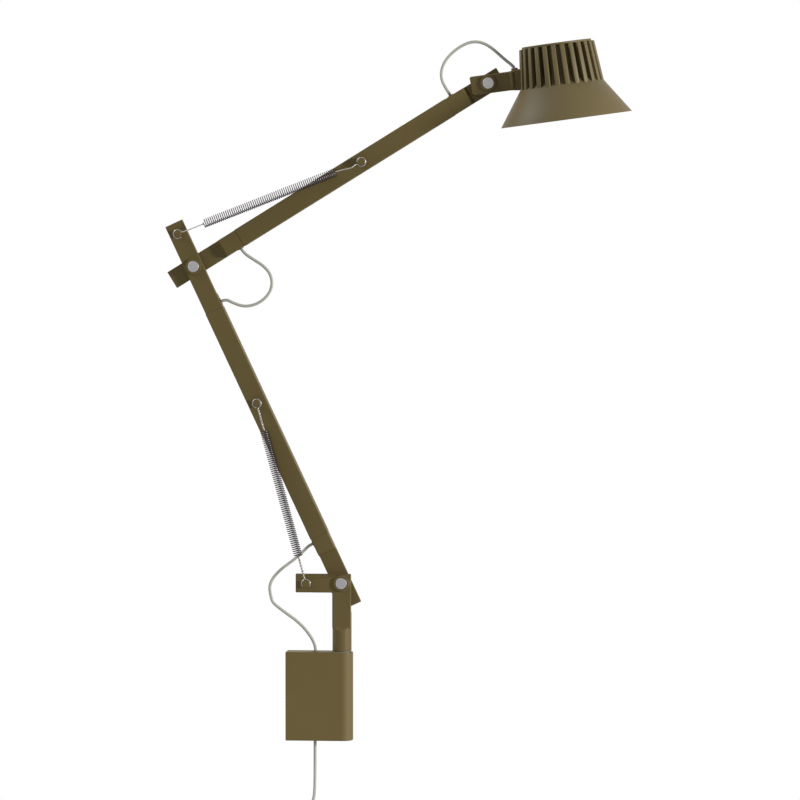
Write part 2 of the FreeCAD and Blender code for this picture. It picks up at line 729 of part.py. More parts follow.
# Pivots: a pin with a bright head, a friction washer in the lap and a nut in a recess.
def pivot(name, face, place):
    top = f"({face} + collar_height + pin_proud)"
    end = f"({FITTING_DEPTH} - 0.2)"
    turned(
        f"{name}_pin",
        [
            ("0", f"-{end}"),
            ("pin_radius", f"-{end}"),
            ("pin_radius", f"{top} - pin_head_thick"),
            ("pin_head_radius", f"{top} - pin_head_thick"),
            ("pin_head_radius", top),
            ("0", top),
        ],
        place,
        across=True,
    )
    turned(
        f"{name}_washer",
        [
            ("pin_radius + seat_gap", f"{LAP} - washer_thick"),
            ("washer_radius", f"{LAP} - washer_thick"),
            ("washer_radius", LAP),
            ("pin_radius + seat_gap", LAP),
        ],
        place,
        across=True,
    )
    nut = new_body(f"{name}_nut")
    plan = sketch_on(nut, f"{name}_nut_plan", "XY_Plane", away=f"-{end}")
    corners = [(f"nut_radius * cos({60 * side})", f"nut_radius * sin({60 * side})") for side in range(6)]
    corners[0] = ("nut_radius", "0")
    corners[3] = ("-nut_radius", "0")
    outline(plan, corners)
    hole(plan, "0", "0", "pin_radius + seat_gap")
    extrude(nut, f"{name}_nut_block", plan, f"nut_recess_depth - nut_gap - 0.2")
    put(nut, place, across=True)


def spring_peg(label, face, place, depth):
    return turned(
        label,
        [
            ("0", f"{face} - {depth}"),
            ("peg_radius", f"{face} - {depth}"),
            ("peg_radius", f"{face} + peg_height"),
            ("0", f"{face} + peg_height"),
        ],
        place,
        across=True,
    )


# Arms: a rectangular tube with a solid fitting at each end. A fitting's X axis runs from its pivot
# to the tube, its tongue is the front half (-Y) or the rear half (+Y) of the section.
def end_fitting(label, place, angle, front, tip, step, lead_hole, seam, hole_up):
    body = new_body(label)
    half_width = f"({FITTING_WIDTH} / 2)"
    face = outline(
        sketch_on(body, f"{label}_face", "XZ_Plane"),
        [
            (f"-{tip}", f"-{half_width}"),
            (seam, f"-{half_width}"),
            (seam, half_width),
            (f"-{tip}", half_width),
        ],
    )
    extrude(body, f"{label}_block", face, f"2 * {FITTING_DEPTH}", both=True)
    kept = "-" if front else ""
    away = "" if front else "-"
    lap = outline(
        sketch_on(body, f"{label}_lap_plan", "XY_Plane"),
        [
            (f"-({tip} + 1)", f"{kept}{LAP}"),
            (step, f"{kept}{LAP}"),
            (f"{step} + lap_slope", f"{away}({FITTING_DEPTH} + 0.5)"),
            (f"-({tip} + 1)", f"{away}({FITTING_DEPTH} + 0.5)"),
        ],
    )
    extrude(body, f"{label}_lap", lap, "2 * arm_width", cut=True, both=True)
    outer = number(FITTING_DEPTH)
    length = number(seam) - number(step)
    long_edge = lambda edge: (
        is_line(edge, X_WAY, length * 0.5)
        and abs(abs(edge.CenterOfMass.y) - outer) < 0.01
        and abs(abs(edge.CenterOfMass.z) - number(half_width)) < 0.01
    )
    end_edge = lambda edge: (
        is_line(edge, Z_WAY, number("lug_thick / 2"))
        and abs(abs(edge.CenterOfMass.y) - outer) < 0.01
        and edge.CenterOfMass.x < -number(tip) + 0.01
    )
    edge_test = lambda edge: long_edge(edge) or end_edge(edge)
    soften(body, f"{label}_edges", "edge_bevel", edge_test, kind="Chamfer")
    bore_depth = "(arm_depth - 2 * arm_wall - 2 * plug_gap)"
    bore_width = "(arm_width - 2 * arm_wall - 2 * plug_gap)"
    plug = outline(
        sketch_on(body, f"{label}_plug_plan", "XY_Plane"),
        [
            (f"{seam} - 1", f"-{bore_depth} / 2"),
            (f"{seam} + plug_length", f"-{bore_depth} / 2"),
            (f"{seam} + plug_length", f"{bore_depth} / 2"),
            (f"{seam} - 1", f"{bore_depth} / 2"),
        ],
    )
    extrude(body, f"{label}_plug", plug, bore_width, both=True)
    circle = sketch_on(body, f"{label}_hole_circle", "XY_Plane")
    ring = hole(circle, lead_hole, "0", "grommet_radius + seat_gap")
    extrude(body, f"{label}_hole", ring, "arm_width", cut=True, back=hole_up)
    up = "" if hole_up else "-"
    down = "-" if hole_up else ""
    channel = outline(
        sketch_on(body, f"{label}_channel_side", "XZ_Plane"),
        [
            (f"{lead_hole} - channel_half", f"{down}channel_half"),
            (f"{seam} + plug_length + 1", f"{down}channel_half"),
            (f"{seam} + plug_length + 1", f"{up}channel_half"),
            (f"{lead_hole} + 4 * channel_half", f"{up}channel_half"),
            (f"{lead_hole} + channel_half", f"{up}3 * channel_half"),
            (f"{lead_hole} - channel_half", f"{up}3 * channel_half"),
        ],
    )
    extrude(body, f"{label}_channel", channel, "2 * channel_half", cut=True, both=True)
    screw = outline(
        sketch_on(body, f"{label}_screw_profile", "XY_Plane", right=f"{seam} + plug_length / 2"),
        [
            ("0", "channel_half - 1"),
            ("screw_radius + seat_gap", "channel_half - 1"),
            ("screw_radius + seat_gap", "arm_depth"),
            ("0", "arm_depth"),
        ],
    )
    spin(body, f"{label}_screw_hole", screw, cut=True)
    put(body, place, angle)
    return body


def arm_tube(label, place, angle, length, foot_seam_at, head_seam_at, peg_at):
    body = new_body(label)
    section = sketch_on(body, f"{label}_section", "YZ_Plane", away=foot_seam_at)
    for inset in ("0", "arm_wall"):
        deep, wide = f"(arm_depth / 2 - {inset})", f"(arm_width / 2 - {inset})"
        outline(section, [(f"-{deep}", f"-{wide}"), (deep, f"-{wide}"), (deep, wide), (f"-{deep}", wide)])
    extrude(body, f"{label}_extrusion", section, f"{length} - {foot_seam_at} - {head_seam_at}")
    outside = number("arm_width / 2")
    half_way = number(f"({length} - {foot_seam_at} - {head_seam_at}) / 2")
    corner = lambda edge: is_line(edge, X_WAY, half_way) and abs(abs(edge.CenterOfMass.z) - outside) < 0.01
    soften(body, f"{label}_edges", "arm_edge", corner)
    add_peg_hole(body, f"{label}_peg_seat", TUBE_FACE, peg_at, "0", "arm_wall")
    ends = (f"{foot_seam_at} + plug_length / 2", f"{length} - {head_seam_at} - plug_length / 2")
    for end, at in zip(("foot", "head"), ends):
        screw = outline(
            sketch_on(body, f"{label}_{end}_screw_profile", "XY_Plane", right=at),
            [
                ("0", "arm_depth / 2 - 2 * arm_wall"),
                ("screw_radius + seat_gap", "arm_depth / 2 - 2 * arm_wall"),
                ("screw_radius + seat_gap", "arm_depth / 2 + 1"),
                ("0", "arm_depth / 2 + 1"),
            ],
        )
        spin(body, f"{label}_{end}_screw_hole", screw, cut=True)
    put(body, place, angle)
    return body


def arm_screws(label, place, angle, length, foot_seam_at, head_seam_at):
    screws = []
    ends = (f"{foot_seam_at} + plug_length / 2", f"{length} - {head_seam_at} - plug_length / 2")
    for end, at in enumerate(ends, start=1):
        screws.append(
            turned(
                f"{label}_{end}",
                [
                    ("0", "plate_gap - arm_depth / 2"),
                    ("screw_radius", "plate_gap - arm_depth / 2"),
                    ("screw_radius", "-(channel_half + plate_gap)"),
                    ("0", "-(channel_half + plate_gap)"),
                ],
                along(place, angle, at),
                across=True,
            )
        )
    return group(label, screws)


def arm_grommets(label, spots):
    """Grommets in the sides of the end fittings; each spot is place, angle, reach and side."""
    rings = []
    for count, (place, angle, reach, up) in enumerate(spots, start=1):
        face = f"({FITTING_WIDTH} / 2)" if up else f"(-{FITTING_WIDTH} / 2)"
        rings.append(turned(f"{label}_{count}", lead_bore(face, up), along(place, angle, reach), angle=angle))
    return group(label, rings)


# Head: bracket, finned heat sink with the shade in one casting, and the light source under it.
def head_bracket():
    body = new_body("head_bracket")
    bar, root = "(head_bar / 2)", "(head_root / 2)"
    end = "(head_reach - core_radius)"
    start = "(head_reach - neck_radius)"
    side = outline(
        sketch_on(body, "head_bracket_side", "XZ_Plane"),
        [
            ("head_slant - head_tip", f"-({bar} + head_belly)"),
            ("head_step", f"-({bar} + head_belly)"),
            (start, f"-({root} + head_belly)"),
            (end, f"-({root} + head_belly)"),
            (end, root),
            (start, root),
            ("head_step", bar),
            ("-head_tip", bar),
        ],
    )
    extrude(body, "head_bar_block", side, "head_depth", both=True)
    lap = outline(
        sketch_on(body, "head_lap_plan", "XY_Plane"),
        [
            ("-(head_tip + 1)", f"-{LAP}"),
            ("head_step", f"-{LAP}"),
            ("head_step + lap_slope", "head_depth / 2 + 0.5"),
            ("-(head_tip + 1)", "head_depth / 2 + 0.5"),
        ],
    )
    extrude(body, "head_lap", lap, "2 * head_root", cut=True, both=True)
    outer = number("head_depth / 2")
    tip_corner = lambda edge: is_line(edge, Y_WAY) and edge.BoundBox.XMax < 0
    soften(body, "head_bracket_corners", "head_round", tip_corner)
    rim = lambda edge: (
        abs(edge.BoundBox.YMin + outer) < 0.01
        and abs(edge.BoundBox.YMax + outer) < 0.01
        and edge.BoundBox.XMax < number(start) + 0.1
    )
    soften(body, "head_bracket_edges", "head_bevel", rim, kind="Chamfer")
    gland = outline(
        sketch_on(body, "head_gland_profile", "XZ_Plane", right="head_hole"),
        [
            ("0", f"{bar} - 2"),
            ("grommet_flange_radius", f"{bar} - 2"),
            ("grommet_flange_radius", f"{root} + head_gland"),
            ("0", f"{root} + head_gland"),
        ],
    )
    spin(body, "head_gland_boss", gland)
    bore = outline(
        sketch_on(body, "head_bore_profile", "XZ_Plane", right="head_hole"),
        [
            ("0", "0"),
            ("grommet_radius + seat_gap", "0"),
            ("grommet_radius + seat_gap", f"{root} + head_gland + 1"),
            ("0", f"{root} + head_gland + 1"),
        ],
    )
    spin(body, "head_lead_bore", bore, cut=True)
    channel = outline(
        sketch_on(body, "head_channel_side", "XZ_Plane"),
        [
            ("head_hole - channel_half", "-channel_half"),
            (f"{end} + 1", "-channel_half"),
            (f"{end} + 1", "channel_half"),
            ("head_hole + 4 * channel_half", "channel_half"),
            ("head_hole + channel_half", "3 * channel_half"),
            ("head_hole - channel_half", "3 * channel_half"),
        ],
    )
    extrude(body, "head_channel", channel, "2 * channel_half", cut=True, both=True)
    for way in ("", "-"):
        hole_side = hole(
            sketch_on(body, f"bracket_thread_circle{len(way)}", "YZ_Plane", away=f"{end} - 9"),
            "0",
            f"{way}bracket_screw_rise",
            "screw_radius + seat_gap",
        )
        extrude(body, f"bracket_thread{len(way)}", hole_side, "12", cut=True, back=True)
    add_collar(body, "wrist", "(head_depth / 2)", "0", "0")
    put(body, WRIST, "head_tilt")
    return body


def cone_radius(level):
    """Outer radius of the shade at a level below the head pivot's, as a formula."""
    return f"(neck_radius + ({level} - neck_depth) * {CONE_RUN} / {CONE_DROP})"


def lamp_shade():
    body = new_body("lamp_shade")
    well_top = "(web_depth + web_thick)"
    casting = outline(
        sketch_on(body, "casting_profile", "XZ_Plane"),
        [
            ("0", f"-{well_top}"),
            ("well_radius", f"-{well_top}"),
            ("well_radius", "-ledge_depth"),
            (f"{cone_radius('ledge_depth')} - shade_wall", "-ledge_depth"),
            ("rim_radius - shade_wall", "-rim_depth"),
            ("rim_radius", "-rim_depth"),
            ("neck_radius", "-neck_depth"),
            ("core_radius", "floor_height - neck_depth"),
            ("core_radius", "fin_height"),
            ("core_radius - core_wall", "fin_height"),
            ("core_radius - core_wall", "-web_depth"),
            ("0", "-web_depth"),
        ],
    )
    spin(body, "casting", casting)
    side = outline(
        sketch_on(body, "fin_side", "XZ_Plane"),
        [
            ("core_radius - core_wall / 2", "floor_height - neck_depth - 1"),
            ("well_radius + core_wall / 2", "-neck_depth"),
            ("neck_radius - fin_inset", "-neck_depth"),
            ("fin_top_radius", "fin_height"),
            ("core_radius - core_wall / 2", "fin_height"),
        ],
    )
    half_pitch = FreeCAD.Rotation(Y_WAY, 180 / number("fin_count"))
    side.AttachmentOffset = FreeCAD.Placement(FreeCAD.Vector(), half_pitch)
    bind(side, "AttachmentOffset.Rotation.Angle", "180 / fin_count")
    fin = extrude(body, "fin", side, "fin_thick", both=True)
    ring = body.newObject("PartDesign::PolarPattern", "fin_ring")
    ring.Originals = [fin]
    ring.Axis = (side, ["V_Axis"])
    ring.Angle = 360
    bind(ring, "Occurrences", "fin_count")
    body.Tip = ring
    notch = outline(
        sketch_on(body, "bracket_notch_face", "YZ_Plane", away="-core_radius"),
        [
            ("-(head_depth / 2 + notch_gap)", "-(head_root / 2 + head_belly + notch_gap)"),
            ("head_depth / 2 + notch_gap", "-(head_root / 2 + head_belly + notch_gap)"),
            ("head_depth / 2 + notch_gap", "head_root / 2 + notch_gap"),
            ("-(head_depth / 2 + notch_gap)", "head_root / 2 + notch_gap"),
        ],
    )
    extrude(body, "bracket_notch", notch, "neck_radius", cut=True)
    circle = sketch_on(body, "core_lead_circle", "YZ_Plane", away="-core_radius / 2")
    lead = hole(circle, "0", "0", "channel_half")
    extrude(body, "core_lead_hole", lead, "core_radius", cut=True)
    for way in ("", "-"):
        screw = hole(
            sketch_on(body, f"core_screw_circle{len(way)}", "YZ_Plane", away="-core_radius / 2"),
            "0",
            f"{way}bracket_screw_rise",
            "screw_radius + seat_gap",
        )
        extrude(body, f"core_screw_hole{len(way)}", screw, "core_radius", cut=True)
        flat = hole(
            sketch_on(body, f"spot_face_circle{len(way)}", "YZ_Plane", away="-core_radius / 2"),
            "0",
            f"{way}bracket_screw_rise",
            "screw_head + 0.2",
        )
        extrude(body, f"spot_face{len(way)}", flat, "core_radius / 2 - core_wall + spot_face", cut=True)
    circle = sketch_on(body, "web_lead_circle", "XY_Plane", away="-web_depth + 1")
    well = hole(circle, WEB_LEAD, "0", "channel_half")
    extrude(body, "web_lead_hole", well, "web_thick + 3", cut=True)
    put(body, HEAD_AXIS, "head_tilt")
    return body


WEB_LEAD = "(-core_radius / 3)"


def bracket_screws():
    """Two screws from inside the core into the end of the head bracket."""
    screws = []
    for count, way in enumerate(("", "-"), start=1):
        body = new_body(f"bracket_screw_{count}")
        inside = "(core_wall - core_radius - spot_face)"
        shape = outline(
            sketch_on(body, f"bracket_screw_profile_{count}", "XY_Plane"),
            [
                (f"{inside} - core_wall - 7", "0"),
                (f"{inside} + 2", "0"),
                (f"{inside} + 2", "screw_head"),
                (inside, "screw_head"),
                (inside, "screw_radius"),
                (f"{inside} - core_wall - 7", "screw_radius"),
            ],
        )
        feature = body.newObject("PartDesign::Revolution", f"bracket_screw_turning_{count}")
        feature.Profile = shape
        feature.ReferenceAxis = (shape, ["H_Axis"])
        feature.Angle = 360
        put(body, along(HEAD_AXIS, "head_tilt", "0", f"{way}bracket_screw_rise"), "head_tilt")
        screws.append(body)
    return group("bracket_screws", screws)


def light_source():
    """Cap, board, chip, reflector, diffuser and ring, all on the head's axis."""
    underside = "(-(web_depth + web_thick))"
    turned(
        "top_cap",
        [
            ("0", "fin_height - cap_lip"),
            ("core_radius - core_wall - plug_gap", "fin_height - cap_lip"),
            ("core_radius - core_wall - plug_gap", "fin_height"),
            ("cap_radius", "fin_height"),
            ("cap_radius", "fin_height + cap_thick - 0.6"),
            ("cap_radius - 0.6", "fin_height + cap_thick"),
            ("0", "fin_height + cap_thick"),
        ],
        HEAD_AXIS,
        angle="head_tilt",
    )
    turned(
        "led_board",
        [
            ("0", f"{underside} - board_thick"),
            ("board_radius", f"{underside} - board_thick"),
            ("board_radius", underside),
            ("0", underside),
        ],
        HEAD_AXIS,
        angle="head_tilt",
    )
    chip_top = f"({underside} - board_thick)"
    turned(
        "led_chip",
        [
            ("0", f"{chip_top} - chip_thick"),
            ("chip_radius", f"{chip_top} - chip_thick"),
            ("chip_radius", chip_top),
            ("0", chip_top),
        ],
        HEAD_AXIS,
        angle="head_tilt",
    )
    turned(
        "reflector",
        [
            ("reflector_throat", f"{chip_top} - plate_gap - reflector_thick"),
            ("well_radius - plate_gap", f"{chip_top} - plate_gap - reflector_thick"),
            ("well_radius - plate_gap", f"{chip_top} - plate_gap"),
            ("reflector_throat", f"{chip_top} - plate_gap"),
        ],
        HEAD_AXIS,
        angle="head_tilt",
    )
    turned(
        "diffuser",
        [
            ("0", "-(ledge_depth + diffuser_thick)"),
            ("diffuser_radius", "-(ledge_depth + diffuser_thick)"),
            ("diffuser_radius", "-ledge_depth"),
            ("0", "-ledge_depth"),
        ],
        HEAD_AXIS,
        angle="head_tilt",
    )
    ring = new_body("diffuser_ring")
    ring_low = "(-(ledge_depth + diffuser_thick + ring_lip))"
    shape = outline(
        sketch_on(ring, "diffuser_ring_profile", "XZ_Plane"),
        [
            ("ring_inner_radius", ring_low),
            ("ring_outer_radius", ring_low),
            ("ring_outer_radius", "-ledge_depth"),
            ("diffuser_radius + 0.3", "-ledge_depth"),
            ("diffuser_radius + 0.3", "-(ledge_depth + diffuser_thick)"),
            ("ring_inner_radius", "-(ledge_depth + diffuser_thick)"),
        ],
    )
    spin(ring, "diffuser_ring_turning", shape)
    put(ring, HEAD_AXIS, "head_tilt")


# Springs: one wire from ring to ring, with its turns between two straight shanks.
def biarc(start, start_way, end, end_way):
    """Two arcs that join two points, each along its own direction."""
    gap = end - start
    ways = start_way + end_way
    square = ways.dot(ways) - 4
    reach = (gap.dot(ways) - math.sqrt(gap.dot(ways) ** 2 - square * gap.dot(gap))) / square
    first, second = start + start_way * reach, end - end_way * reach
    joint = (first + second) / 2
    return [tangent_arc(start, first, joint), tangent_arc(joint, second, end)]


def tangent_arc(start, corner, end):
    """The arc from start to end whose end tangents meet in the corner, both equally far away."""
    chord = (start + end) / 2
    into = corner - chord
    reach = (corner - start).Length
    if into.Length < 1e-7:
        return Part.LineSegment(start, end).toShape()
    cosine = (end - start).Length / 2 / reach
    return Part.Arc(start, chord + into * (cosine / (1 + cosine)), end).toShape()


def spring(label, near, far, face):
    """A tension spring between two pegs, in front of the arms."""
    wire = number("spring_wire")
    ring = number("peg_radius + spring_ring_gap + spring_wire / 2")
    hook, radius = number("spring_hook"), number("spring_radius")
    turns = int(round(number("spring_turns")))
    start = FreeCAD.Vector(number(near[0]), 0, number(near[1]))
    end = FreeCAD.Vector(number(far[0]), 0, number(far[1]))
    length = (end - start).Length
    down = math.radians(30)
    opening = math.radians(60)

    def ring_point(angle):
        return FreeCAD.Vector(ring * math.cos(angle), 0, ring * math.sin(angle))

    tail = ring_point(-down)
    tail_way = FreeCAD.Vector(math.sin(down), 0, math.cos(down))
    shank = FreeCAD.Vector(ring + number("spring_shank"), 0, 0)
    bend = FreeCAD.Vector(hook - radius, 0, 0)
    first_way = helix_way(0, radius, length - 2 * hook, turns)
    first = helix_point(0, radius, length - 2 * hook, turns, hook)
    half = [Part.Arc(ring_point(opening), ring_point(math.pi + (opening - down) / 2), tail).toShape()]
    half += biarc(tail, tail_way, shank, X_WAY)
    half.append(Part.LineSegment(shank, bend).toShape())
    half += biarc(bend, X_WAY, first, first_way)
    coil = []
    for step in range(2 * turns):
        coil += biarc(
            helix_point(step / 2, radius, length - 2 * hook, turns, hook),
            helix_way(step / 2, radius, length - 2 * hook, turns),
            helix_point((step + 1) / 2, radius, length - 2 * hook, turns, hook),
            helix_way((step + 1) / 2, radius, length - 2 * hook, turns),
        )
    middle = FreeCAD.Vector(length / 2, 0, 0)
    other = [edge.rotated(middle, Z_WAY, 180) for edge in reversed(half)]
    path = Part.Wire(half + coil + other)
    profile = wire_section(ring_point(opening), half[0].tangentAt(half[0].FirstParameter), Y_WAY, wire / 2, 3)
    solid = path.makePipeShell([profile], True, False)
    report_gap(label, path, wire)
    item = doc.addObject("Part::Feature", label)
    item.Label = label
    item.Shape = solid
    angle = math.degrees(math.atan2(end.z - start.z, end.x - start.x))
    lift = FreeCAD.Vector(start.x, -number(f"{face} + spring_lift"), start.z)
    item.Placement = FreeCAD.Placement(lift, FreeCAD.Rotation(FreeCAD.Vector(0, -1, 0), angle))
    return item


def helix_point(turn, radius, length, turns, offset):
    angle = 2 * math.pi * turn
    return FreeCAD.Vector(offset + length * turn / turns, radius * math.sin(angle), radius * math.cos(angle))


def helix_way(turn, radius, length, turns):
    angle = 2 * math.pi * turn
    around = 2 * math.pi * radius
    way = FreeCAD.Vector(length / turns, around * math.cos(angle), -around * math.sin(angle))
    return way.normalize()


def wire_section(place, way, aside, radius, sides):
    """A small polygon square to a path, for a wire or a lead."""
    other = way.cross(aside).normalize()
    step = 2 * math.pi / sides
    corners = [
        place
        + aside * (radius * math.cos(step * (corner + 0.5)))
        + other * (radius * math.sin(step * (corner + 0.5)))
        for corner in range(sides)
    ]
    return Part.makePolygon(corners + corners[:1])


def report_gap(label, path, thick):
    """Prints the least gap of a wound tube to itself, measured on points along it."""
    points = path.discretize(Distance=max(thick, path.Length / 1500))
    pitch = path.Length / (len(points) - 1)
    skip = int(3 * thick / pitch) + 2
    least = min(
        (first - second).Length
        for index, first in enumerate(points)
        for second in points[index + skip:index + skip + 120]
    )
    print(f"{label}: least gap to itself {least - thick:.2f} mm, length {path.Length:.1f} mm")


# Leads: straight runs joined by tangent arcs, each arc as large as its two runs allow.
def lead_path(points):
    places = [FreeCAD.Vector(*point) for point in points]
    edges, radii = [], []
    here = places[0]
    for before, corner, after in zip(places, places[1:], places[2:]):
        come, leave = corner - before, after - corner
        short = min(come.Length, leave.Length)
        turn = come.getAngle(leave)
        cut = 0.45 * short
        radii.append(cut / math.tan(turn / 2))
        start = corner - come.normalize() * cut
        end = corner + leave.normalize() * cut
        edges.append(Part.LineSegment(here, start).toShape())
        edges.append(tangent_arc(start, corner, end))
        here = end
    edges.append(Part.LineSegment(here, places[-1]).toShape())
    return Part.Wire(edges), radii


def lead_tube(label, points, sides=6, aside=Y_WAY):
    path, radii = lead_path(points)
    return tube_along(label, path, sides, aside, radii)


def tube_along(label, path, sides, aside, radii=()):
    thick = number("lead_thick")
    first = path.Edges[0]
    section = wire_section(
        first.valueAt(first.FirstParameter), first.tangentAt(first.FirstParameter), aside, thick / 2, sides
    )
    solid = path.makePipeShell([section], True, False)
    expected = Part.Face(section).Area * path.Length
    smallest = f", smallest radius {min(radii):.1f} mm" if radii else ""
    share = solid.Volume / expected
    print(f"{label}: length {path.Length:.1f} mm, volume {share:.4f} of its section{smallest}")
    item = doc.addObject("Part::Feature", label)
    item.Label = label
    item.Shape = solid
    return item


SHOULDER_LEAD_LOW = [
    (36.6, 0, 56.6),
    (36.6, 0, 62.6),
    (28.0, 0, 73.2),
    (16.5, 0, 85.8),
    (2.5, 0, 97.2),
    (-10.5, 0, 107.2),
    (-18.5, 0, 115.6),
    (-20.3, 0, 123.4),
]
SHOULDER_LEAD_HIGH = [
    (-20.3, 0, 123.4),
    (-22.1, 0, 131.2),
    (-21.5, 0, 139.9),
    (-15.0, 0, 149.4),
    (-2.5, 0, 159.2),
    (10.5, 0, 168.2),
    (21.0, 0, 178.4),
    (27.43, 0, 188.21),
    (33.32, 0, 190.97),
]
ELBOW_LEAD = [
    (-81.5, 0, 494.64),
    (-75.65, 0, 497.38),
    (-66.8, 0, 492.53),
    (-53.3, 0, 488.03),
    (-39.8, 0, 490.03),
    (-27.8, 0, 497.03),
    (-19.8, 0, 507.03),
    (-17.3, 0, 518.53),
    (-20.3, 0, 530.03),
    (-28.8, 0, 539.53),
    (-40.3, 0, 546.53),
    (-53.03, 0, 554.87),
    (-56.45, 0, 560.39),
]
HEAD_LEAD = [
    (205.84, 0, 752.21),
    (202.42, 0, 757.73),
    (195.2, 0, 770.03),
    (194.2, 0, 782.23),
    (198.7, 0, 794.43),
    (207.2, 0, 805.43),
    (218.2, 0, 813.73),
    (230.2, 0, 818.73),
    (242.7, 0, 819.33),
    (254.2, 0, 815.23),
    (265.0, 0, 807.03),
    (275.4, 0, 799.93),
    (284.94, 0, 792.56),
    (285.81, 0, 786.12),
]


LEAD_BEND = 5.0


def inner_lead(label, place, angle, start, end, up_start, up_end):
    """The lead inside an arm, from one side hole to the other, in the arm's own frame."""
    face = number(f"{FITTING_WIDTH} / 2 + grommet_flange")
    first = 1 if up_start else -1
    last = 1 if up_end else -1
    begin, finish = number(start), number(end)
    item = lead_tube(
        label,
        [
            (begin, 0, first * face),
            (begin, 0, first * LEAD_BEND),
            (begin + LEAD_BEND, 0, 0),
            (finish - LEAD_BEND, 0, 0),
            (finish, 0, last * LEAD_BEND),
            (finish, 0, last * face),
        ],
    )
    lift = FreeCAD.Vector(number(place[0]), 0, number(place[1]))
    item.Placement = FreeCAD.Placement(lift, FreeCAD.Rotation(FreeCAD.Vector(0, -1, 0), number(angle)))
    return item


def box_leads():
    """Two straight lengths in the box, from the grommets into the terminals."""
    top = number(f"{BOX_TOP} + grommet_flange")
    inside = number("block_height / 4")
    upper = lead_tube("box_lead_upper", [(number("top_lead"), 0, inside), (number("top_lead"), 0, top)])
    lower_run = [(number("bottom_lead"), 0, -top), (number("bottom_lead"), 0, -inside)]
    lower = lead_tube("box_lead_lower", lower_run)
    return group("box_leads", [upper, lower])


def head_inner_lead():
    base = number("head_root / 2 + head_gland + grommet_flange")
    bore = number("head_hole")
    down = number(f"head_reach + {WEB_LEAD}")
    item = lead_tube(
        "head_inner_lead",
        [
            (bore, 0, base),
            (bore, 0, LEAD_BEND),
            (bore + LEAD_BEND, 0, 0),
            (down - 1.5 * LEAD_BEND, 0, 0),
            (down, 0, -LEAD_BEND),
            (down, 0, -number("web_depth + web_thick")),
        ],
    )
    lift = FreeCAD.Vector(number(WRIST[0]), 0, number(WRIST[1]))
    item.Placement = FreeCAD.Placement(lift, FreeCAD.Rotation(FreeCAD.Vector(0, -1, 0), number("head_tilt")))
    return item


# Supply lead: down from the box, then stored in a hank of two layers that hangs from it.
SUPPLY_LEAD = [
    (36.0, 0, -56.6),
    (36.0, 0, -100.0),
    (34.8, 0, -134.0),
    (24.0, 0, -150.0),
    (12.75, 0, -162.0),
    (12.75, 0, -180.0),
]


def hank_path():
    """Runs and half turns that spiral in on the front layer and out again on the rear one."""
    step, run = number("hank_step"), number("hank_run")
    high = -number("hank_depth")
    low = high - run
    inner = number("hank_inner")
    radii = [inner + step * (5 - turn) / 2 for turn in range(6)]
    radii += [inner + step * (turn + 1) / 2 for turn in range(6)]
    here = FreeCAD.Vector(*SUPPLY_LEAD[-1])
    edges = []
    for turn, radius in enumerate(radii):
        at_bottom = turn % 2 == 0
        level = low if at_bottom else high
        straight = FreeCAD.Vector(here.x, here.y, level)
        if (straight - here).Length > 1e-6:
            edges.append(Part.LineSegment(here, straight).toShape())
        climb = step if turn == 5 else 0
        way = 1 if at_bottom else -1
        middle = FreeCAD.Vector(straight.x + way * radius, straight.y + climb / 2, level)
        top = middle + FreeCAD.Vector(0, 0, -way * math.hypot(radius, climb / 2))
        here = FreeCAD.Vector(straight.x + 2 * way * radius, straight.y + climb, level)
        edges.append(Part.Arc(straight, top, here).toShape())
    end = FreeCAD.Vector(here.x, here.y, -number("plug_depth"))
    edges.append(Part.LineSegment(here, end).toShape())
    return Part.Wire(edges), end



def supply_hank():
    path, end = hank_path()
    report_gap("supply_hank", path, number("lead_thick"))
    tube_along("supply_hank", path, 4, Y_WAY)
    box = path.BoundBox
    thick, tie = number("lead_thick / 2 + 0.3"), number("tie_thick")
    height = number("tie_height")
    middle = number("-(hank_depth + hank_run / 2)")
    low = FreeCAD.Vector(box.XMin - thick, box.YMin - thick, middle - height / 2)
    wide, deep = box.XLength + 2 * thick, box.YLength + 2 * thick
    out = FreeCAD.Vector(tie, tie, 0)
    band = Part.makeBox(wide + 2 * tie, deep + 2 * tie, height, low - out)
    band = band.makeFillet(tie * 1.5, [edge for edge in band.Edges if is_line(edge, Z_WAY)])
    item = doc.addObject("Part::Feature", "hank_tie")
    item.Label = "hank_tie"
    item.Shape = band.cut(Part.makeBox(wide, deep, height, low))
    return end


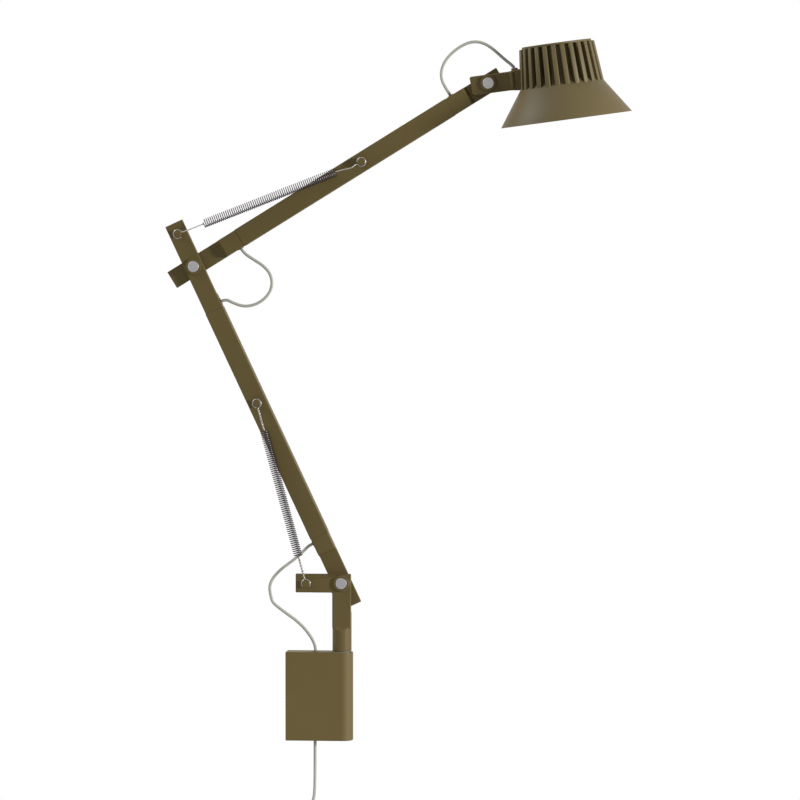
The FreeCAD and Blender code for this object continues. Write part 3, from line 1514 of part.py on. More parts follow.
# Mains adaptor at the end of the lead, with a tapered relief and two contact pins.
def adaptor(end):
    base = (str(end.x), str(end.z))
    rings = []
    ends = (
        (number("lead_thick / 2 + 0.5"), 0),
        (number("relief_radius"), -number("relief_length")),
    )
    for radius, level in ends:
        rings.append(wire_section(end + Z_WAY * level, Z_WAY, Y_WAY, radius, int(number("relief_sides"))))
    relief = doc.addObject("Part::Feature", "plug_relief")
    relief.Label = "plug_relief"
    relief.Shape = Part.makeLoft(rings, True, True)
    body = new_body("plug_body")
    half_wide, half_deep = "(plug_width / 2)", "(plug_deep / 2)"
    plan = outline(
        sketch_on(body, "plug_plan", "XY_Plane", away="-relief_length"),
        [
            (f"-{half_wide}", f"-{half_deep}"),
            (half_wide, f"-{half_deep}"),
            (half_wide, half_deep),
            (f"-{half_wide}", half_deep),
        ],
    )
    extrude(body, "plug_block", plan, "plug_tall", back=True)
    soften(body, "plug_corners", "plug_round", lambda edge: is_line(edge, Z_WAY, number("plug_tall / 2")))
    soften(body, "plug_edges", "edge_bevel", lambda edge: edge.BoundBox.ZLength < 0.01, kind="Chamfer")
    put(body, base)
    body.Placement.Base.y = end.y
    pins = new_body("plug_pins")
    pins.AllowCompound = True
    face = sketch_on(pins, "plug_pin_face", "XY_Plane", away="-(relief_length + plug_tall)")
    for way in ("", "-"):
        hole(face, f"{way}plug_pin_spacing / 2", "0", "plug_pin_radius")
    extrude(pins, "plug_pin_rods", face, "plug_pin_length", back=True)
    put(pins, base)
    pins.Placement.Base.y = end.y


wall_plate()
box_housing()
housing_screw()
post_bushes()
stop_screw()
block_with_holes(
    "terminal_block",
    BLOCK_X,
    "block_width",
    "-block_height / 2",
    "block_height",
    "-block_front",
    BLOCK_X,
    "lead_thick / 2 + lead_gap + (top_lead - bottom_lead) / 2",
)
terminal_screws()
block_with_holes(
    "cord_clamp",
    "bottom_lead",
    "clamp_width",
    "box_wall + clamp_rise - box_height / 2",
    "clamp_height",
    "-clamp_front",
    "bottom_lead",
    "lead_thick / 2 + lead_gap",
)
box_grommets()
box_leads()
swivel_bracket()
pivot("shoulder", "flat_depth", SHOULDER)
pivot("elbow", FITTING_DEPTH, ELBOW)
pivot("wrist", "(head_depth / 2)", WRIST)
LOWER_BACK = "(lower_angle + 180)"
UPPER_BACK = "(upper_angle + 180)"
lower_foot = end_fitting(
    "lower_arm_foot", SHOULDER, "lower_angle", False, "shoulder_tip", "shoulder_step", "shoulder_hole", "shoulder_seam", True
)
add_nut_seat(lower_foot, "shoulder_nut_seat", FITTING_DEPTH)
lower_head = end_fitting(
    "lower_arm_head", ELBOW, LOWER_BACK, True, "elbow_tip", "elbow_step", "elbow_hole", "elbow_seam", True
)
add_collar(lower_head, "elbow", FITTING_DEPTH, "0", "0")
add_peg_hole(lower_head, "elbow_peg_seat", FITTING_DEPTH, "-elbow_peg", "0", "peg_seat")
upper_foot = end_fitting(
    "upper_arm_foot", ELBOW, "upper_angle", False, "foot_tip", "foot_step", "foot_hole", "foot_seam", False
)
add_nut_seat(upper_foot, "elbow_nut_seat", FITTING_DEPTH)
upper_head = end_fitting(
    "upper_arm_head", WRIST, UPPER_BACK, False, "neck_tip", "neck_step", "neck_hole", "neck_seam", False
)
add_nut_seat(upper_head, "wrist_nut_seat", FITTING_DEPTH)
arm_tube("lower_arm_tube", SHOULDER, "lower_angle", "lower_length", "shoulder_seam", "elbow_seam", "lower_peg")
arm_tube("upper_arm_tube", ELBOW, "upper_angle", "upper_length", "foot_seam", "neck_seam", "upper_peg")
arm_screws("lower_arm_screws", SHOULDER, "lower_angle", "lower_length", "shoulder_seam", "elbow_seam")
arm_screws("upper_arm_screws", ELBOW, "upper_angle", "upper_length", "foot_seam", "neck_seam")
arm_grommets(
    "lower_arm_grommets",
    [(SHOULDER, "lower_angle", "shoulder_hole", True), (ELBOW, LOWER_BACK, "elbow_hole", True)],
)
arm_grommets(
    "upper_arm_grommets",
    [(ELBOW, "upper_angle", "foot_hole", False), (WRIST, UPPER_BACK, "neck_hole", False)],
)
BRACKET_PEG = along(SHOULDER, "180", "bracket_peg")
LOWER_PEG = along(SHOULDER, "lower_angle", "lower_peg")
ELBOW_PEG = along(ELBOW, "lower_angle", "elbow_peg")
UPPER_PEG = along(ELBOW, "upper_angle", "upper_peg")
spring_peg("bracket_spring_peg", "flat_depth", BRACKET_PEG, "peg_seat")
spring_peg("lower_spring_peg", TUBE_FACE, LOWER_PEG, "arm_wall")
spring_peg("elbow_spring_peg", FITTING_DEPTH, ELBOW_PEG, "peg_seat")
spring_peg("upper_spring_peg", TUBE_FACE, UPPER_PEG, "arm_wall")
spring("lower_spring", BRACKET_PEG, LOWER_PEG, TUBE_FACE)
spring("upper_spring", ELBOW_PEG, UPPER_PEG, TUBE_FACE)
head_bracket()
turned("head_grommet", lead_bore("(head_root / 2 + head_gland)", True), along(WRIST, "head_tilt", "head_hole"), angle="head_tilt")
lamp_shade()
bracket_screws()
light_source()
lead_tube("shoulder_lead_lower", SHOULDER_LEAD_LOW)
lead_tube("shoulder_lead_upper", SHOULDER_LEAD_HIGH)
lead_tube("elbow_lead", ELBOW_LEAD)
lead_tube("head_lead", HEAD_LEAD)
inner_lead("lower_arm_lead", SHOULDER, "lower_angle", "shoulder_hole", "lower_length - elbow_hole", True, False)
inner_lead("upper_arm_lead", ELBOW, "upper_angle", "foot_hole", "upper_length - neck_hole", False, True)
head_inner_lead()
lead_tube("supply_lead", SUPPLY_LEAD)
adaptor(supply_hank())
doc.recompute()

NODES = """
wall_plate box_housing housing_screw post_bushes stop_screw terminal_block terminal_screws cord_clamp
box_grommets box_leads supply_lead supply_hank hank_tie plug_relief plug_body plug_pins
shoulder_lead_lower shoulder_lead_upper elbow_lead head_lead
swivel_bracket shoulder_pin shoulder_washer shoulder_nut bracket_spring_peg
lower_arm_tube lower_arm_foot lower_arm_head lower_arm_screws lower_arm_grommets lower_arm_lead
lower_spring_peg elbow_spring_peg lower_spring elbow_pin elbow_washer elbow_nut
upper_arm_tube upper_arm_foot upper_arm_head upper_arm_screws upper_arm_grommets upper_arm_lead
upper_spring_peg upper_spring
head_bracket wrist_pin wrist_washer wrist_nut head_grommet head_inner_lead lamp_shade top_cap
bracket_screws led_board led_chip reflector diffuser diffuser_ring
""".split()


def faults():
    """Failed objects, pieces that aren't valid solids, and cuts that take nothing away."""
    found = [item.Name for item in doc.Objects if {"Invalid", "Error"} & set(item.State)]
    for item in doc.Objects:
        if item.TypeId in ("PartDesign::Pocket", "PartDesign::Groove") and not item.Shape.isNull():
            if item.Shape.Volume > item.BaseFeature.Shape.Volume - 0.01:
                found.append(f"{item.Name} cuts nothing")
    for node in NODES:
        shape = doc.getObjectsByLabel(node)[0].Shape
        if shape.isNull() or not shape.isValid() or not shape.Solids:
            found.append(f"{node} is not a valid solid")
    return found


problems = faults()
if problems:
    raise SystemExit("not written: " + ", ".join(problems))
for node in NODES:
    doc.getObjectsByLabel(node)[0].Shape.exportStep(f"parts/{node}.step")
print(f"{len(NODES)} parts written")
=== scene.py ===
import bpy
import bmesh
import json
import math
from mathutils import Matrix, Vector


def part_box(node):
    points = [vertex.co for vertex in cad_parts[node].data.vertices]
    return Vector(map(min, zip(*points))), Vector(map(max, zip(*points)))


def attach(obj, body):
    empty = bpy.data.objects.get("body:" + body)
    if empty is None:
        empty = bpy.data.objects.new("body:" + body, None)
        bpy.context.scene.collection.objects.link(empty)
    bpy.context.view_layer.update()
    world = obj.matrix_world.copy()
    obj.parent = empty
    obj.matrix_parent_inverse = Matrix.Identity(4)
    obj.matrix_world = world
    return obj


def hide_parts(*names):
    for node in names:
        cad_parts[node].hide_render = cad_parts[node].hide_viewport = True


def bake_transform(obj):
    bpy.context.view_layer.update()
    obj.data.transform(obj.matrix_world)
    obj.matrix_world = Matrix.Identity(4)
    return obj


# Articulating wall lamp. Lengths are in metres, the wall is the plane x = 0 and the front is -y.

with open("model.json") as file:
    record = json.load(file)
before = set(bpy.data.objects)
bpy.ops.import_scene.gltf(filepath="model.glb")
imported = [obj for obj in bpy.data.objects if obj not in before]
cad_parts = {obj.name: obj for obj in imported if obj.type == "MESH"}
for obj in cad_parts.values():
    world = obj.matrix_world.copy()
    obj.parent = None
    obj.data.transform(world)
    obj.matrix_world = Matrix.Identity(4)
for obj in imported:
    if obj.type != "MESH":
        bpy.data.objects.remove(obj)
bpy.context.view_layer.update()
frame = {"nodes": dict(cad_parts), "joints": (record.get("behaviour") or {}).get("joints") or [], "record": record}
joints = {joint["name"]: Vector(joint["pos_m"]) for joint in frame["joints"]}
slotOf = {part["node"]: part["material_slot"] for part in frame["record"]["subparts"]}
nodesOf = frame["record"]["behaviour"]["bodies"]
bodyOf = {node: body for body, nodes in nodesOf.items() for node in nodes}
scene = bpy.context.scene
mm = 0.001
fullTurn = 2 * math.pi
headTilt = 7.7  # the head above level, in degrees
print("frame loaded:", len(frame["nodes"]), "nodes")


# Small tools for names, places, meshes and routes.
def camelName(node):  # lower_arm_tube becomes lowerArmTube
    first, *others = node.split("_")
    return first + "".join(word.capitalize() for word in others)


def leaning(joint, degrees):  # the frame of a piece that leans from a joint's pivot
    turn = Matrix.Rotation(math.radians(degrees), 4, Vector((0, -1, 0)))
    return Matrix.Translation(joints[joint]) @ turn


def inMetres(route):
    return [Vector(point) * mm for point in route]


def newObject(name, data):
    piece = bpy.data.objects.new(name, data)
    scene.collection.objects.link(piece)
    return piece


def meshFrom(name, points, faces, smooth=True):
    mesh = bpy.data.meshes.new(name)
    mesh.from_pydata([tuple(point) for point in points], [], faces)
    mesh.update()
    if smooth:
        mesh.shade_smooth()
    return newObject(name, mesh)


def softenEdges(piece, width, angle=35, segments=2):
    bevel = piece.modifiers.new("softEdge", "BEVEL")
    bevel.width = width
    bevel.segments = segments
    bevel.limit_method = "ANGLE"
    bevel.angle_limit = math.radians(angle)
    bevel.use_clamp_overlap = False


def applyModifiers(piece):
    depsgraph = bpy.context.evaluated_depsgraph_get()
    finished = bpy.data.meshes.new_from_object(piece.evaluated_get(depsgraph), depsgraph=depsgraph)
    piece.modifiers.clear()
    piece.data = finished


def cleanMesh(piece, distance=1e-6, flatten=0.0):
    work = bmesh.new()
    work.from_mesh(piece.data)
    bmesh.ops.remove_doubles(work, verts=work.verts, dist=distance)
    if flatten:
        bmesh.ops.dissolve_limit(work, angle_limit=flatten, verts=work.verts, edges=work.edges)
    bmesh.ops.recalc_face_normals(work, faces=work.faces)
    work.to_mesh(piece.data)
    work.free()


def shadeByAngle(piece, angle=40):
    piece.data.shade_smooth()
    piece.data.set_sharp_from_angle(angle=math.radians(angle))


def boxMesh(name, xEnds, yEnds, zEnds):  # a closed box, its ends in millimetres
    corners = [(x, y, z) for x in xEnds for y in yEnds for z in zEnds]
    walls = [(0, 1, 3, 2), (4, 6, 7, 5), (0, 4, 5, 1), (2, 3, 7, 6), (0, 2, 6, 4), (1, 5, 7, 3)]
    box = meshFrom(name, inMetres(corners), walls, smooth=False)
    cleanMesh(box)
    return box


def routeCurve(name, route, resolution=10):  # a smooth open curve along the control points
    data = bpy.data.curves.new(name, "CURVE")
    data.dimensions = "3D"
    data.resolution_u = resolution
    spline = data.splines.new("NURBS")
    spline.points.add(len(route) - 1)
    for point, place in zip(spline.points, route):
        point.co = (*place, 1.0)
    spline.order_u = 3
    spline.use_endpoint_u = True
    spline.resolution_u = resolution
    return newObject(name, data)


def routePoints(route, resolution=10):
    curve = routeCurve("routeLine", route, resolution)
    bpy.context.view_layer.update()
    depsgraph = bpy.context.evaluated_depsgraph_get()
    line = bpy.data.meshes.new_from_object(curve.evaluated_get(depsgraph), depsgraph=depsgraph)
    points = [vertex.co.copy() for vertex in line.vertices]
    bpy.data.objects.remove(curve)
    bpy.data.meshes.remove(line)
    return points


def lengthOf(points):
    return sum((second - first).length for first, second in zip(points, points[1:]))


def tubeMesh(name, points, radius, sides):  # a closed round tube whose rings follow without twist
    count = len(points)
    ways = []
    for index in range(count):
        before = points[max(index - 1, 0)]
        after = points[min(index + 1, count - 1)]
        ways.append((after - before).normalized())
    aside = ways[0].orthogonal().normalized()
    rings, faces = [], []
    for index, place in enumerate(points):
        if index:
            aside = (aside - ways[index] * aside.dot(ways[index])).normalized()
        other = ways[index].cross(aside)
        for corner in range(sides):
            angle = fullTurn * corner / sides
            rings.append(place + (aside * math.cos(angle) + other * math.sin(angle)) * radius)
    for index in range(count - 1):
        for corner in range(sides):
            following = (corner + 1) % sides
            low, high = index * sides, (index + 1) * sides
            faces.append((low + corner, low + following, high + following, high + corner))
    faces.append(tuple(reversed(range(sides))))
    faces.append(tuple(range((count - 1) * sides, count * sides)))
    return meshFrom(name, rings, faces)


# Materials.
def newMaterial(name):
    material = bpy.data.materials.new(name)
    material.use_nodes = True
    nodes, links = material.node_tree.nodes, material.node_tree.links
    shader = nodes["Principled BSDF"]
    place = nodes.new("ShaderNodeTexCoord")
    return material, nodes, links, shader, place.outputs["Object"]


def noiseOn(nodes, links, place, scale, detail=3.0, roughness=0.55):
    noise = nodes.new("ShaderNodeTexNoise")
    noise.inputs["Scale"].default_value = scale
    noise.inputs["Detail"].default_value = detail
    noise.inputs["Roughness"].default_value = roughness
    links.new(place, noise.inputs["Vector"])
    return noise.outputs["Fac"]


def rampOn(nodes, links, value, low, high, start=0.35, end=0.65):
    ramp = nodes.new("ShaderNodeValToRGB")
    ramp.color_ramp.elements[0].position = start
    ramp.color_ramp.elements[0].color = low
    ramp.color_ramp.elements[1].position = end
    ramp.color_ramp.elements[1].color = high
    links.new(value, ramp.inputs["Fac"])
    return ramp.outputs["Color"]


def rangeOn(nodes, links, value, low, high):
    spread = nodes.new("ShaderNodeMapRange")
    spread.inputs["To Min"].default_value = low
    spread.inputs["To Max"].default_value = high
    links.new(value, spread.inputs["Value"])
    return spread.outputs["Result"]


def bumpOn(nodes, links, height, shader, strength, distance):
    bump = nodes.new("ShaderNodeBump")
    bump.inputs["Strength"].default_value = strength
    bump.inputs["Distance"].default_value = distance
    links.new(height, bump.inputs["Height"])
    links.new(bump.outputs["Normal"], shader.inputs["Normal"])


def mathOn(nodes, links, operation, *values):  # a value is a number or another node's output
    step = nodes.new("ShaderNodeMath")
    step.operation = operation
    for socket, value in zip(step.inputs, values):
        if isinstance(value, bpy.types.NodeSocket):
            links.new(value, socket)
        else:
            socket.default_value = value
    return step.outputs[0]


def tinted(colour, factor):
    return (colour[0] * factor, colour[1] * factor, colour[2] * factor, 1.0)


# A look says how a surface varies: clouds of tone, and a fine grain in roughness and relief.
paintLook = {
    "cloudScale": 7.0,
    "tones": (0.95, 1.05),
    "grainScale": 2600.0,
    "grainDetail": 2.0,
    "spread": 0.06,
    "relief": 0.25,
    "depth": 0.00008,
}
metalLook = {
    "cloudScale": 260.0,
    "tones": (0.95, 1.04),
    "grainDetail": 1.0,
    "spread": 0.07,
    "relief": 0.08,
    "depth": 0.00003,
}
mouldedLook = {
    "cloudScale": 40.0,
    "tones": (0.96, 1.03),
    "grainScale": 1500.0,
    "grainDetail": 3.0,
    "spread": 0.05,
    "relief": 0.2,
    "depth": 0.00005,
}
paintRoughness = 0.52
paintGloss = 0.25


def surface(name, colour, roughness, look):
    material, nodes, links, shader, place = newMaterial(name)
    cloud = noiseOn(nodes, links, place, look["cloudScale"])
    dark, light = (tinted(colour, tone) for tone in look["tones"])
    links.new(rampOn(nodes, links, cloud, dark, light), shader.inputs["Base Color"])
    grain = noiseOn(nodes, links, place, look["grainScale"], detail=look["grainDetail"])
    smoothest, roughest = roughness - look["spread"], roughness + look["spread"]
    links.new(rangeOn(nodes, links, grain, smoothest, roughest), shader.inputs["Roughness"])
    bumpOn(nodes, links, grain, shader, look["relief"], look["depth"])
    return material, shader


def powderCoat(name, colour):  # matt paint with a fine orange peel
    material, shader = surface(name, colour, paintRoughness, paintLook)
    shader.inputs["Specular IOR Level"].default_value = paintGloss
    return material


# Turned or drawn metal. rim says how much of its brightness it keeps at grazing angles.
def turnedMetal(name, colour, roughness, ringScale, rim=1.0):
    material, shader = surface(name, colour, roughness, {**metalLook, "grainScale": ringScale})
    shader.inputs["Metallic"].default_value = 1.0
    shader.inputs["Specular Tint"].default_value = tinted((1.0, 1.0, 1.0), rim)
    return material


def moulded(name, colour, roughness):  # plastic or rubber
    return surface(name, colour, roughness, mouldedLook)[0]


bronzePaint = powderCoat("bronzePaint", (0.101, 0.073, 0.023))
# painted light: the lamp shade's paint is a lighter, less saturated copy of the bronze paint, for the light its
# upward-facing cone catches
litLampShadePaint = powderCoat("litLampShadePaint", (0.117, 0.089, 0.037))
# painted light: the box's paint is a lighter copy of the bronze paint, for the box being lit more brightly than
# the swivel bracket beside it
boxPaint = powderCoat("boxPaint", (0.119, 0.087, 0.028))

# Each slot's material: its colour, its roughness, and a metal's ring scale.
materialOf = {
    "bronze_paint": bronzePaint,
    "shade_paint": litLampShadePaint,
    "zinc_steel": turnedMetal("zincSteel", (0.52, 0.52, 0.5), 0.4, 700.0),
    "bright_steel": turnedMetal("brightSteel", (0.32, 0.31, 0.31), 0.5, 1800.0),
    "spring_steel": turnedMetal("springSteel", (0.11, 0.098, 0.098), 0.28, 2500.0, rim=0.4),
    "bush_plastic": moulded("bushPlastic", (0.66, 0.64, 0.58), 0.45),
    "lead_sheath": moulded("leadSheath", (0.36, 0.36, 0.315), 0.55),
    "grey_rubber": moulded("greyRubber", (0.115, 0.095, 0.060), 0.6),
    "adaptor_plastic": moulded("adaptorPlastic", (0.70, 0.69, 0.65), 0.45),
    "opal_plastic": moulded("opalPlastic", (0.82, 0.81, 0.76), 0.35),
    "board_metal": moulded("boardMask", (0.78, 0.78, 0.76), 0.4),
    "brass": turnedMetal("brass", (0.70, 0.52, 0.22), 0.35, 900.0),
    "phosphor": moulded("phosphor", (0.80, 0.62, 0.10), 0.6),
}
# painted highlight: the spring hooks take a lighter copy of the spring steel, so that they read as lit beside the
# darker coil
litHookSteel = turnedMetal("litHookSteel", (0.36, 0.33, 0.31), 0.36, 2500.0, rim=0.6)
for name, slotName in slotOf.items():
    node = frame["nodes"][name]
    node.data.materials.clear()
    node.data.materials.append(materialOf[slotName])
print("materials set")


# Gives a piece its material and hides the nodes that it stands for.
def finish(piece, slotName, *nodes, paint=None):
    piece.data.materials.clear()
    piece.data.materials.append(paint or materialOf[slotName])
    if nodes:
        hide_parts(*nodes)


# Camera at the photograph's angle, soft light and a pale floor.
view = {
    "target": Vector((0.1430, 0.0, 0.3719)),
    "distance": 7.5,
    "frameWidth": 1.0,
    "fromRight": math.radians(5.2),
    "fromAbove": math.radians(3.1),
    "clipEnd": 50.0,
}


def addCamera():
    camera = newObject("camera", bpy.data.cameras.new("camera"))
    right, above = view["fromRight"], view["fromAbove"]
    level = math.cos(above)
    away = Vector((math.sin(right) * level, -math.cos(right) * level, math.sin(above)))
    camera.location = view["target"] + away * view["distance"]
    camera.rotation_euler = (-away).to_track_quat("-Z", "Y").to_euler()
    camera.data.angle = 2 * math.atan(view["frameWidth"] / 2 / view["distance"])
    camera.data.clip_end = view["clipEnd"]
    scene.camera = camera


studio = {
    "worldStrength": 0.225,
    "aim": (0.1, 0.0, 0.4),
    "keyWay": (0.91, -0.41, 0.15),  # grazing light from the right
    "keyAway": 4.0,
    "keySize": 0.7,
    "keyPower": 188.0,
    "fillWay": (-0.75, -0.12, 0.65),  # soft light from above on the left
    "fillAway": 4.0,
    "fillSize": 2.2,
    "fillPower": 118.0,
    "floorLevel": -0.5,
    "floorRadius": 1.6,
    "floorSides": 96,
    "floorClouds": 3.0,
    "floorTones": ((0.80, 0.80, 0.79, 1.0), (0.84, 0.84, 0.83, 1.0)),
    "floorRoughness": 0.9,
}


def addLamp(name):
    lamp = bpy.data.lights.new(name + "Light", "AREA")
    lamp.shape = "DISK"
    lamp.size = studio[name + "Size"]
    lamp.energy = studio[name + "Power"]
    holder = newObject(name + "Light", lamp)
    way = Vector(studio[name + "Way"]).normalized()
    holder.location = Vector(studio["aim"]) + way * studio[name + "Away"]
    holder.rotation_euler = (-way).to_track_quat("-Z", "Y").to_euler()


def addWorld():  # white where it is seen or mirrored, and soft where it lights the lamp
    world = bpy.data.worlds.new("studio")
    scene.world = world
    world.use_nodes = True
    nodes, links = world.node_tree.nodes, world.node_tree.links
    nodes.clear()
    rays = nodes.new("ShaderNodeLightPath")
    glossy, clear = rays.outputs["Is Glossy Ray"], rays.outputs["Is Transmission Ray"]
    mirrored = mathOn(nodes, links, "MAXIMUM", glossy, clear)
    seen = mathOn(nodes, links, "MAXIMUM", rays.outputs["Is Camera Ray"], mirrored)
    mix = nodes.new("ShaderNodeMixShader")
    links.new(seen, mix.inputs["Fac"])
    for socket, strength in ((1, studio["worldStrength"]), (2, 1.0)):
        white = nodes.new("ShaderNodeBackground")
        white.inputs["Color"].default_value = (1.0, 1.0, 1.0, 1.0)
        white.inputs["Strength"].default_value = strength
        links.new(white.outputs[0], mix.inputs[socket])
    output = nodes.new("ShaderNodeOutputWorld")
    links.new(mix.outputs[0], output.inputs["Surface"])


def addFloor():
    sides, radius, level = studio["floorSides"], studio["floorRadius"], studio["floorLevel"]
    angles = [fullTurn * side / sides for side in range(sides)]
    points = [(radius * math.cos(angle), radius * math.sin(angle), level) for angle in angles]
    floor = meshFrom("floor", points, [tuple(range(sides))])
    material, nodes, links, shader, place = newMaterial("paleFloor")
    tone = noiseOn(nodes, links, place, studio["floorClouds"])
    colour = rampOn(nodes, links, tone, *studio["floorTones"])
    links.new(colour, shader.inputs["Base Color"])
    shader.inputs["Roughness"].default_value = studio["floorRoughness"]
    floor.data.materials.append(material)


addCamera()
addWorld()
addLamp("key")
addLamp("fill")
addFloor()
scene.view_settings.view_transform = "Standard"
print("camera, light and floor set")


# Leads. Each route is a list of control points in millimetres.
lead = {
    "diameter": 3.8 * mm,
    "sides": 16,
    "mouth": 12.4,  # where it enters an arm, in millimetres from the arm's middle line
    "bend": 5.0,  # where it starts to turn along the arm
}

boxToArmLow = [
    (36.6, 0, 56.6),
    (36.6, 0, 61.6),
    (32.4, 0, 71.5),
    (24.3, 0, 83.0),
    (13.0, 0, 94.0),
    (-1.0, 0, 103.8),
    (-13.0, 0, 112.8),
    (-18.2, 0, 118.2),
    (-19.4, 0, 123.4),
]
boxToArmHigh = [
    (-19.4, 0, 123.4),
    (-21.3, 0, 131.6),
    (-20.9, 0, 139.4),
    (-16.8, 0, 148.2),
    (-8.0, 0, 157.8),
    (3.0, 0, 166.0),
    (13.0, 0, 173.6),
    (21.5, 0, 181.4),
    (27.6, 0, 188.4),
    (33.32, 0, 190.97),
]
elbowLoop = [
    (-81.5, 0, 494.64),
    (-75.65, 0, 497.38),
    (-66.8, 0, 492.53),
    (-53.3, 0, 488.03),
    (-39.8, 0, 490.03),
    (-27.8, 0, 497.03),
    (-19.8, 0, 507.03),
    (-17.3, 0, 518.53),
    (-20.3, 0, 530.03),
    (-28.8, 0, 539.53),
    (-40.3, 0, 546.53),
    (-53.03, 0, 554.87),
    (-56.45, 0, 560.39),
]
headLoop = [
    (205.84, 0, 752.21),
    (202.42, 0, 757.73),
    (195.2, 0, 770.03),
    (194.2, 0, 782.23),
    (198.7, 0, 794.43),
    (207.2, 0, 804.4),
    (218.0, 0, 812.8),
    (230.0, 0, 818.5),
    (242.5, 0, 819.0),
    (254.0, 0, 814.0),
    (265.0, 0, 804.8),
    (275.5, 0, 795.4),
    (283.6, 0, 789.4),
    (285.81, 0, 786.12),
]
supplyRoute = [
    (36.0, 0, -56.6),
    (36.0, 0, -100.0),
    (34.8, 0, -134.0),
    (24.0, 0, -150.0),
    (12.75, 0, -162.0),
    (12.75, 0, -180.0),
]
hank = {  # the put-away lead: half turns round two ends, on two layers, then a straight tail
    "run": 75.0,
    "top": -180.0,
    "inner": 12.5,
    "step": 4.3,
    "halfTurns": 6,
    "turnPoints": 6,
    "tailFrom": -210.0,
    "tailShare": 0.9,
    "end": -292.0,
    "smoothness": 8,
    "roundness": 3,
}
insideArms = {  # where the lead goes in and out along the arm, and on which of its sides
    "lower_arm_lead": {"leans": ("shoulder_hinge", 115.1), "in": (60.0, 1), "out": (383.7, -1)},
    "upper_arm_lead": {"leans": ("elbow_hinge", 31.8), "in": (62.0, -1), "out": (386.0, 1)},
}
insideHead = [(34, 0, 14.2), (34, 0, 5), (39, 0, 0), (69.17, 0, 0), (76.67, 0, -5), (76.67, 0, -14)]
insideBox = {
    "boxLeadHigh": [(36.6, 0, 4.5), (36.6, 0, 30.0), (36.6, 0, 56.6)],
    "boxLeadLow": [(36.0, 0, -56.6), (36.0, 0, -30.0), (36.0, 0, -4.5)],
}


# A loop of lead between two bodies, made as a tube along its route.
def leadLoop(name, route, node):
    points = routePoints(inMetres(route))
    loop = tubeMesh(name, points, lead["diameter"] / 2, lead["sides"])
    finish(loop, "lead_sheath", node)
    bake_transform(loop)


def innerLead(name, route, node, place=None):  # the lead where it runs hidden inside a piece
    points = routePoints(inMetres(route))
    if place:
        points = [place @ point for point in points]
    run = tubeMesh(name, points, lead["diameter"] / 2, lead["sides"])
    finish(run, "lead_sheath", node)
    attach(run, bodyOf[node])


def armLead(node):
    arm, bend, mouth = insideArms[node], lead["bend"], lead["mouth"]
    (start, sideIn), (end, sideOut) = arm["in"], arm["out"]
    run = [
        (start, 0, mouth * sideIn),
        (start, 0, bend * sideIn),
        (start + bend, 0, 0),
        (end - bend, 0, 0),
        (end, 0, bend * sideOut),
        (end, 0, mouth * sideOut),
    ]
    innerLead(camelName(node), run, node, leaning(*arm["leans"]))


leadLoop("shoulderLeadLow", boxToArmLow, "shoulder_lead_lower")
leadLoop("shoulderLeadHigh", boxToArmHigh, "shoulder_lead_upper")
leadLoop("elbowLead", elbowLoop, "elbow_lead")
leadLoop("headLead", headLoop, "head_lead")
for node in insideArms:
    armLead(node)
innerLead("headInnerLead", insideHead, "head_inner_lead", leaning("head_hinge", headTilt))
for name, run in insideBox.items():
    innerLead(name, run, "box_leads")


def hankRoute():  # half turns that spiral in on one layer and out again on the other
    step, count, layer = hank["step"], hank["turnPoints"], hank["halfTurns"]
    radii = [hank["inner"] + step * (layer - 1 - turn) / 2 for turn in range(layer)]
    radii += [hank["inner"] + step * (turn + 1) / 2 for turn in range(layer)]
    middle = hank["top"] - hank["run"] / 2
    x, y = supplyRoute[-1][0], 0.0
    route = []
    for turn, radius in enumerate(radii):
        atBottom = turn % 2 == 0
        level = hank["top"] - hank["run"] if atBottom else hank["top"]
        way = 1 if atBottom else -1
        climb = step if turn == layer - 1 else 0.0
        reach = radius / math.cos(math.pi / (2 * count))
        for point in range(count):
            angle = math.pi * (point + 0.5) / count
            across = x + way * (radius - reach * math.cos(angle))
            back = y + climb * (point + 0.5) / count
            route.append((across, back, level - way * reach * math.sin(angle)))
        x += way * 2 * radius
        y += climb
        if turn < len(radii) - 1:
            route.append((x, y, middle))
    return route, (x, y)


def supplyLead():
    turns, (endX, endY) = hankRoute()
    down = (supplyRoute[-1][0], 0.0, hank["top"] - hank["run"] / 2)
    low = hank["top"] - hank["run"] * hank["tailShare"]
    tail = [(endX, endY, level) for level in (hank["tailFrom"], low, hank["end"])]
    route = inMetres(supplyRoute + [down] + turns + tail)
    cable = routeCurve("supplyLead", route, hank["smoothness"])
    cable.data.bevel_depth = lead["diameter"] / 2
    cable.data.bevel_resolution = hank["roundness"]
    cable.data.use_fill_caps = True
    length = lengthOf(routePoints(route, hank["smoothness"]))
    print("supply lead:", round(length, 4), "m")
    finish(cable, "lead_sheath", "supply_lead", "supply_hank")
    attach(cable, "root")


supplyLead()
print("leads made")


# Dressed pieces: a node's own shape with softened edges, whose widths are in millimetres.
softEdges = {
    "box_housing": 0.8,
    "swivel_bracket": 0.8,
    "lower_arm_tube": 0.4,
    "lower_arm_foot": 0.4,
    "lower_arm_head": 0.4,
    "upper_arm_tube": 0.4,
    "upper_arm_foot": 0.4,
    "upper_arm_head": 0.4,
    "head_bracket": 0.4,
    "shoulder_pin": 0.35,
    "elbow_pin": 0.35,
    "wrist_pin": 0.35,
    "bracket_spring_peg": 0.6,
    "lower_spring_peg": 0.6,
    "elbow_spring_peg": 0.6,
    "upper_spring_peg": 0.6,
    "top_cap": 0.3,
    "diffuser": 0.2,
    "diffuser_ring": 0.25,
}
dressing = {  # lengths in metres, angles in degrees
    "merge": 2e-6,
    "flat": 0.6,
    "softened": 30,
    "sharp": 50,
}


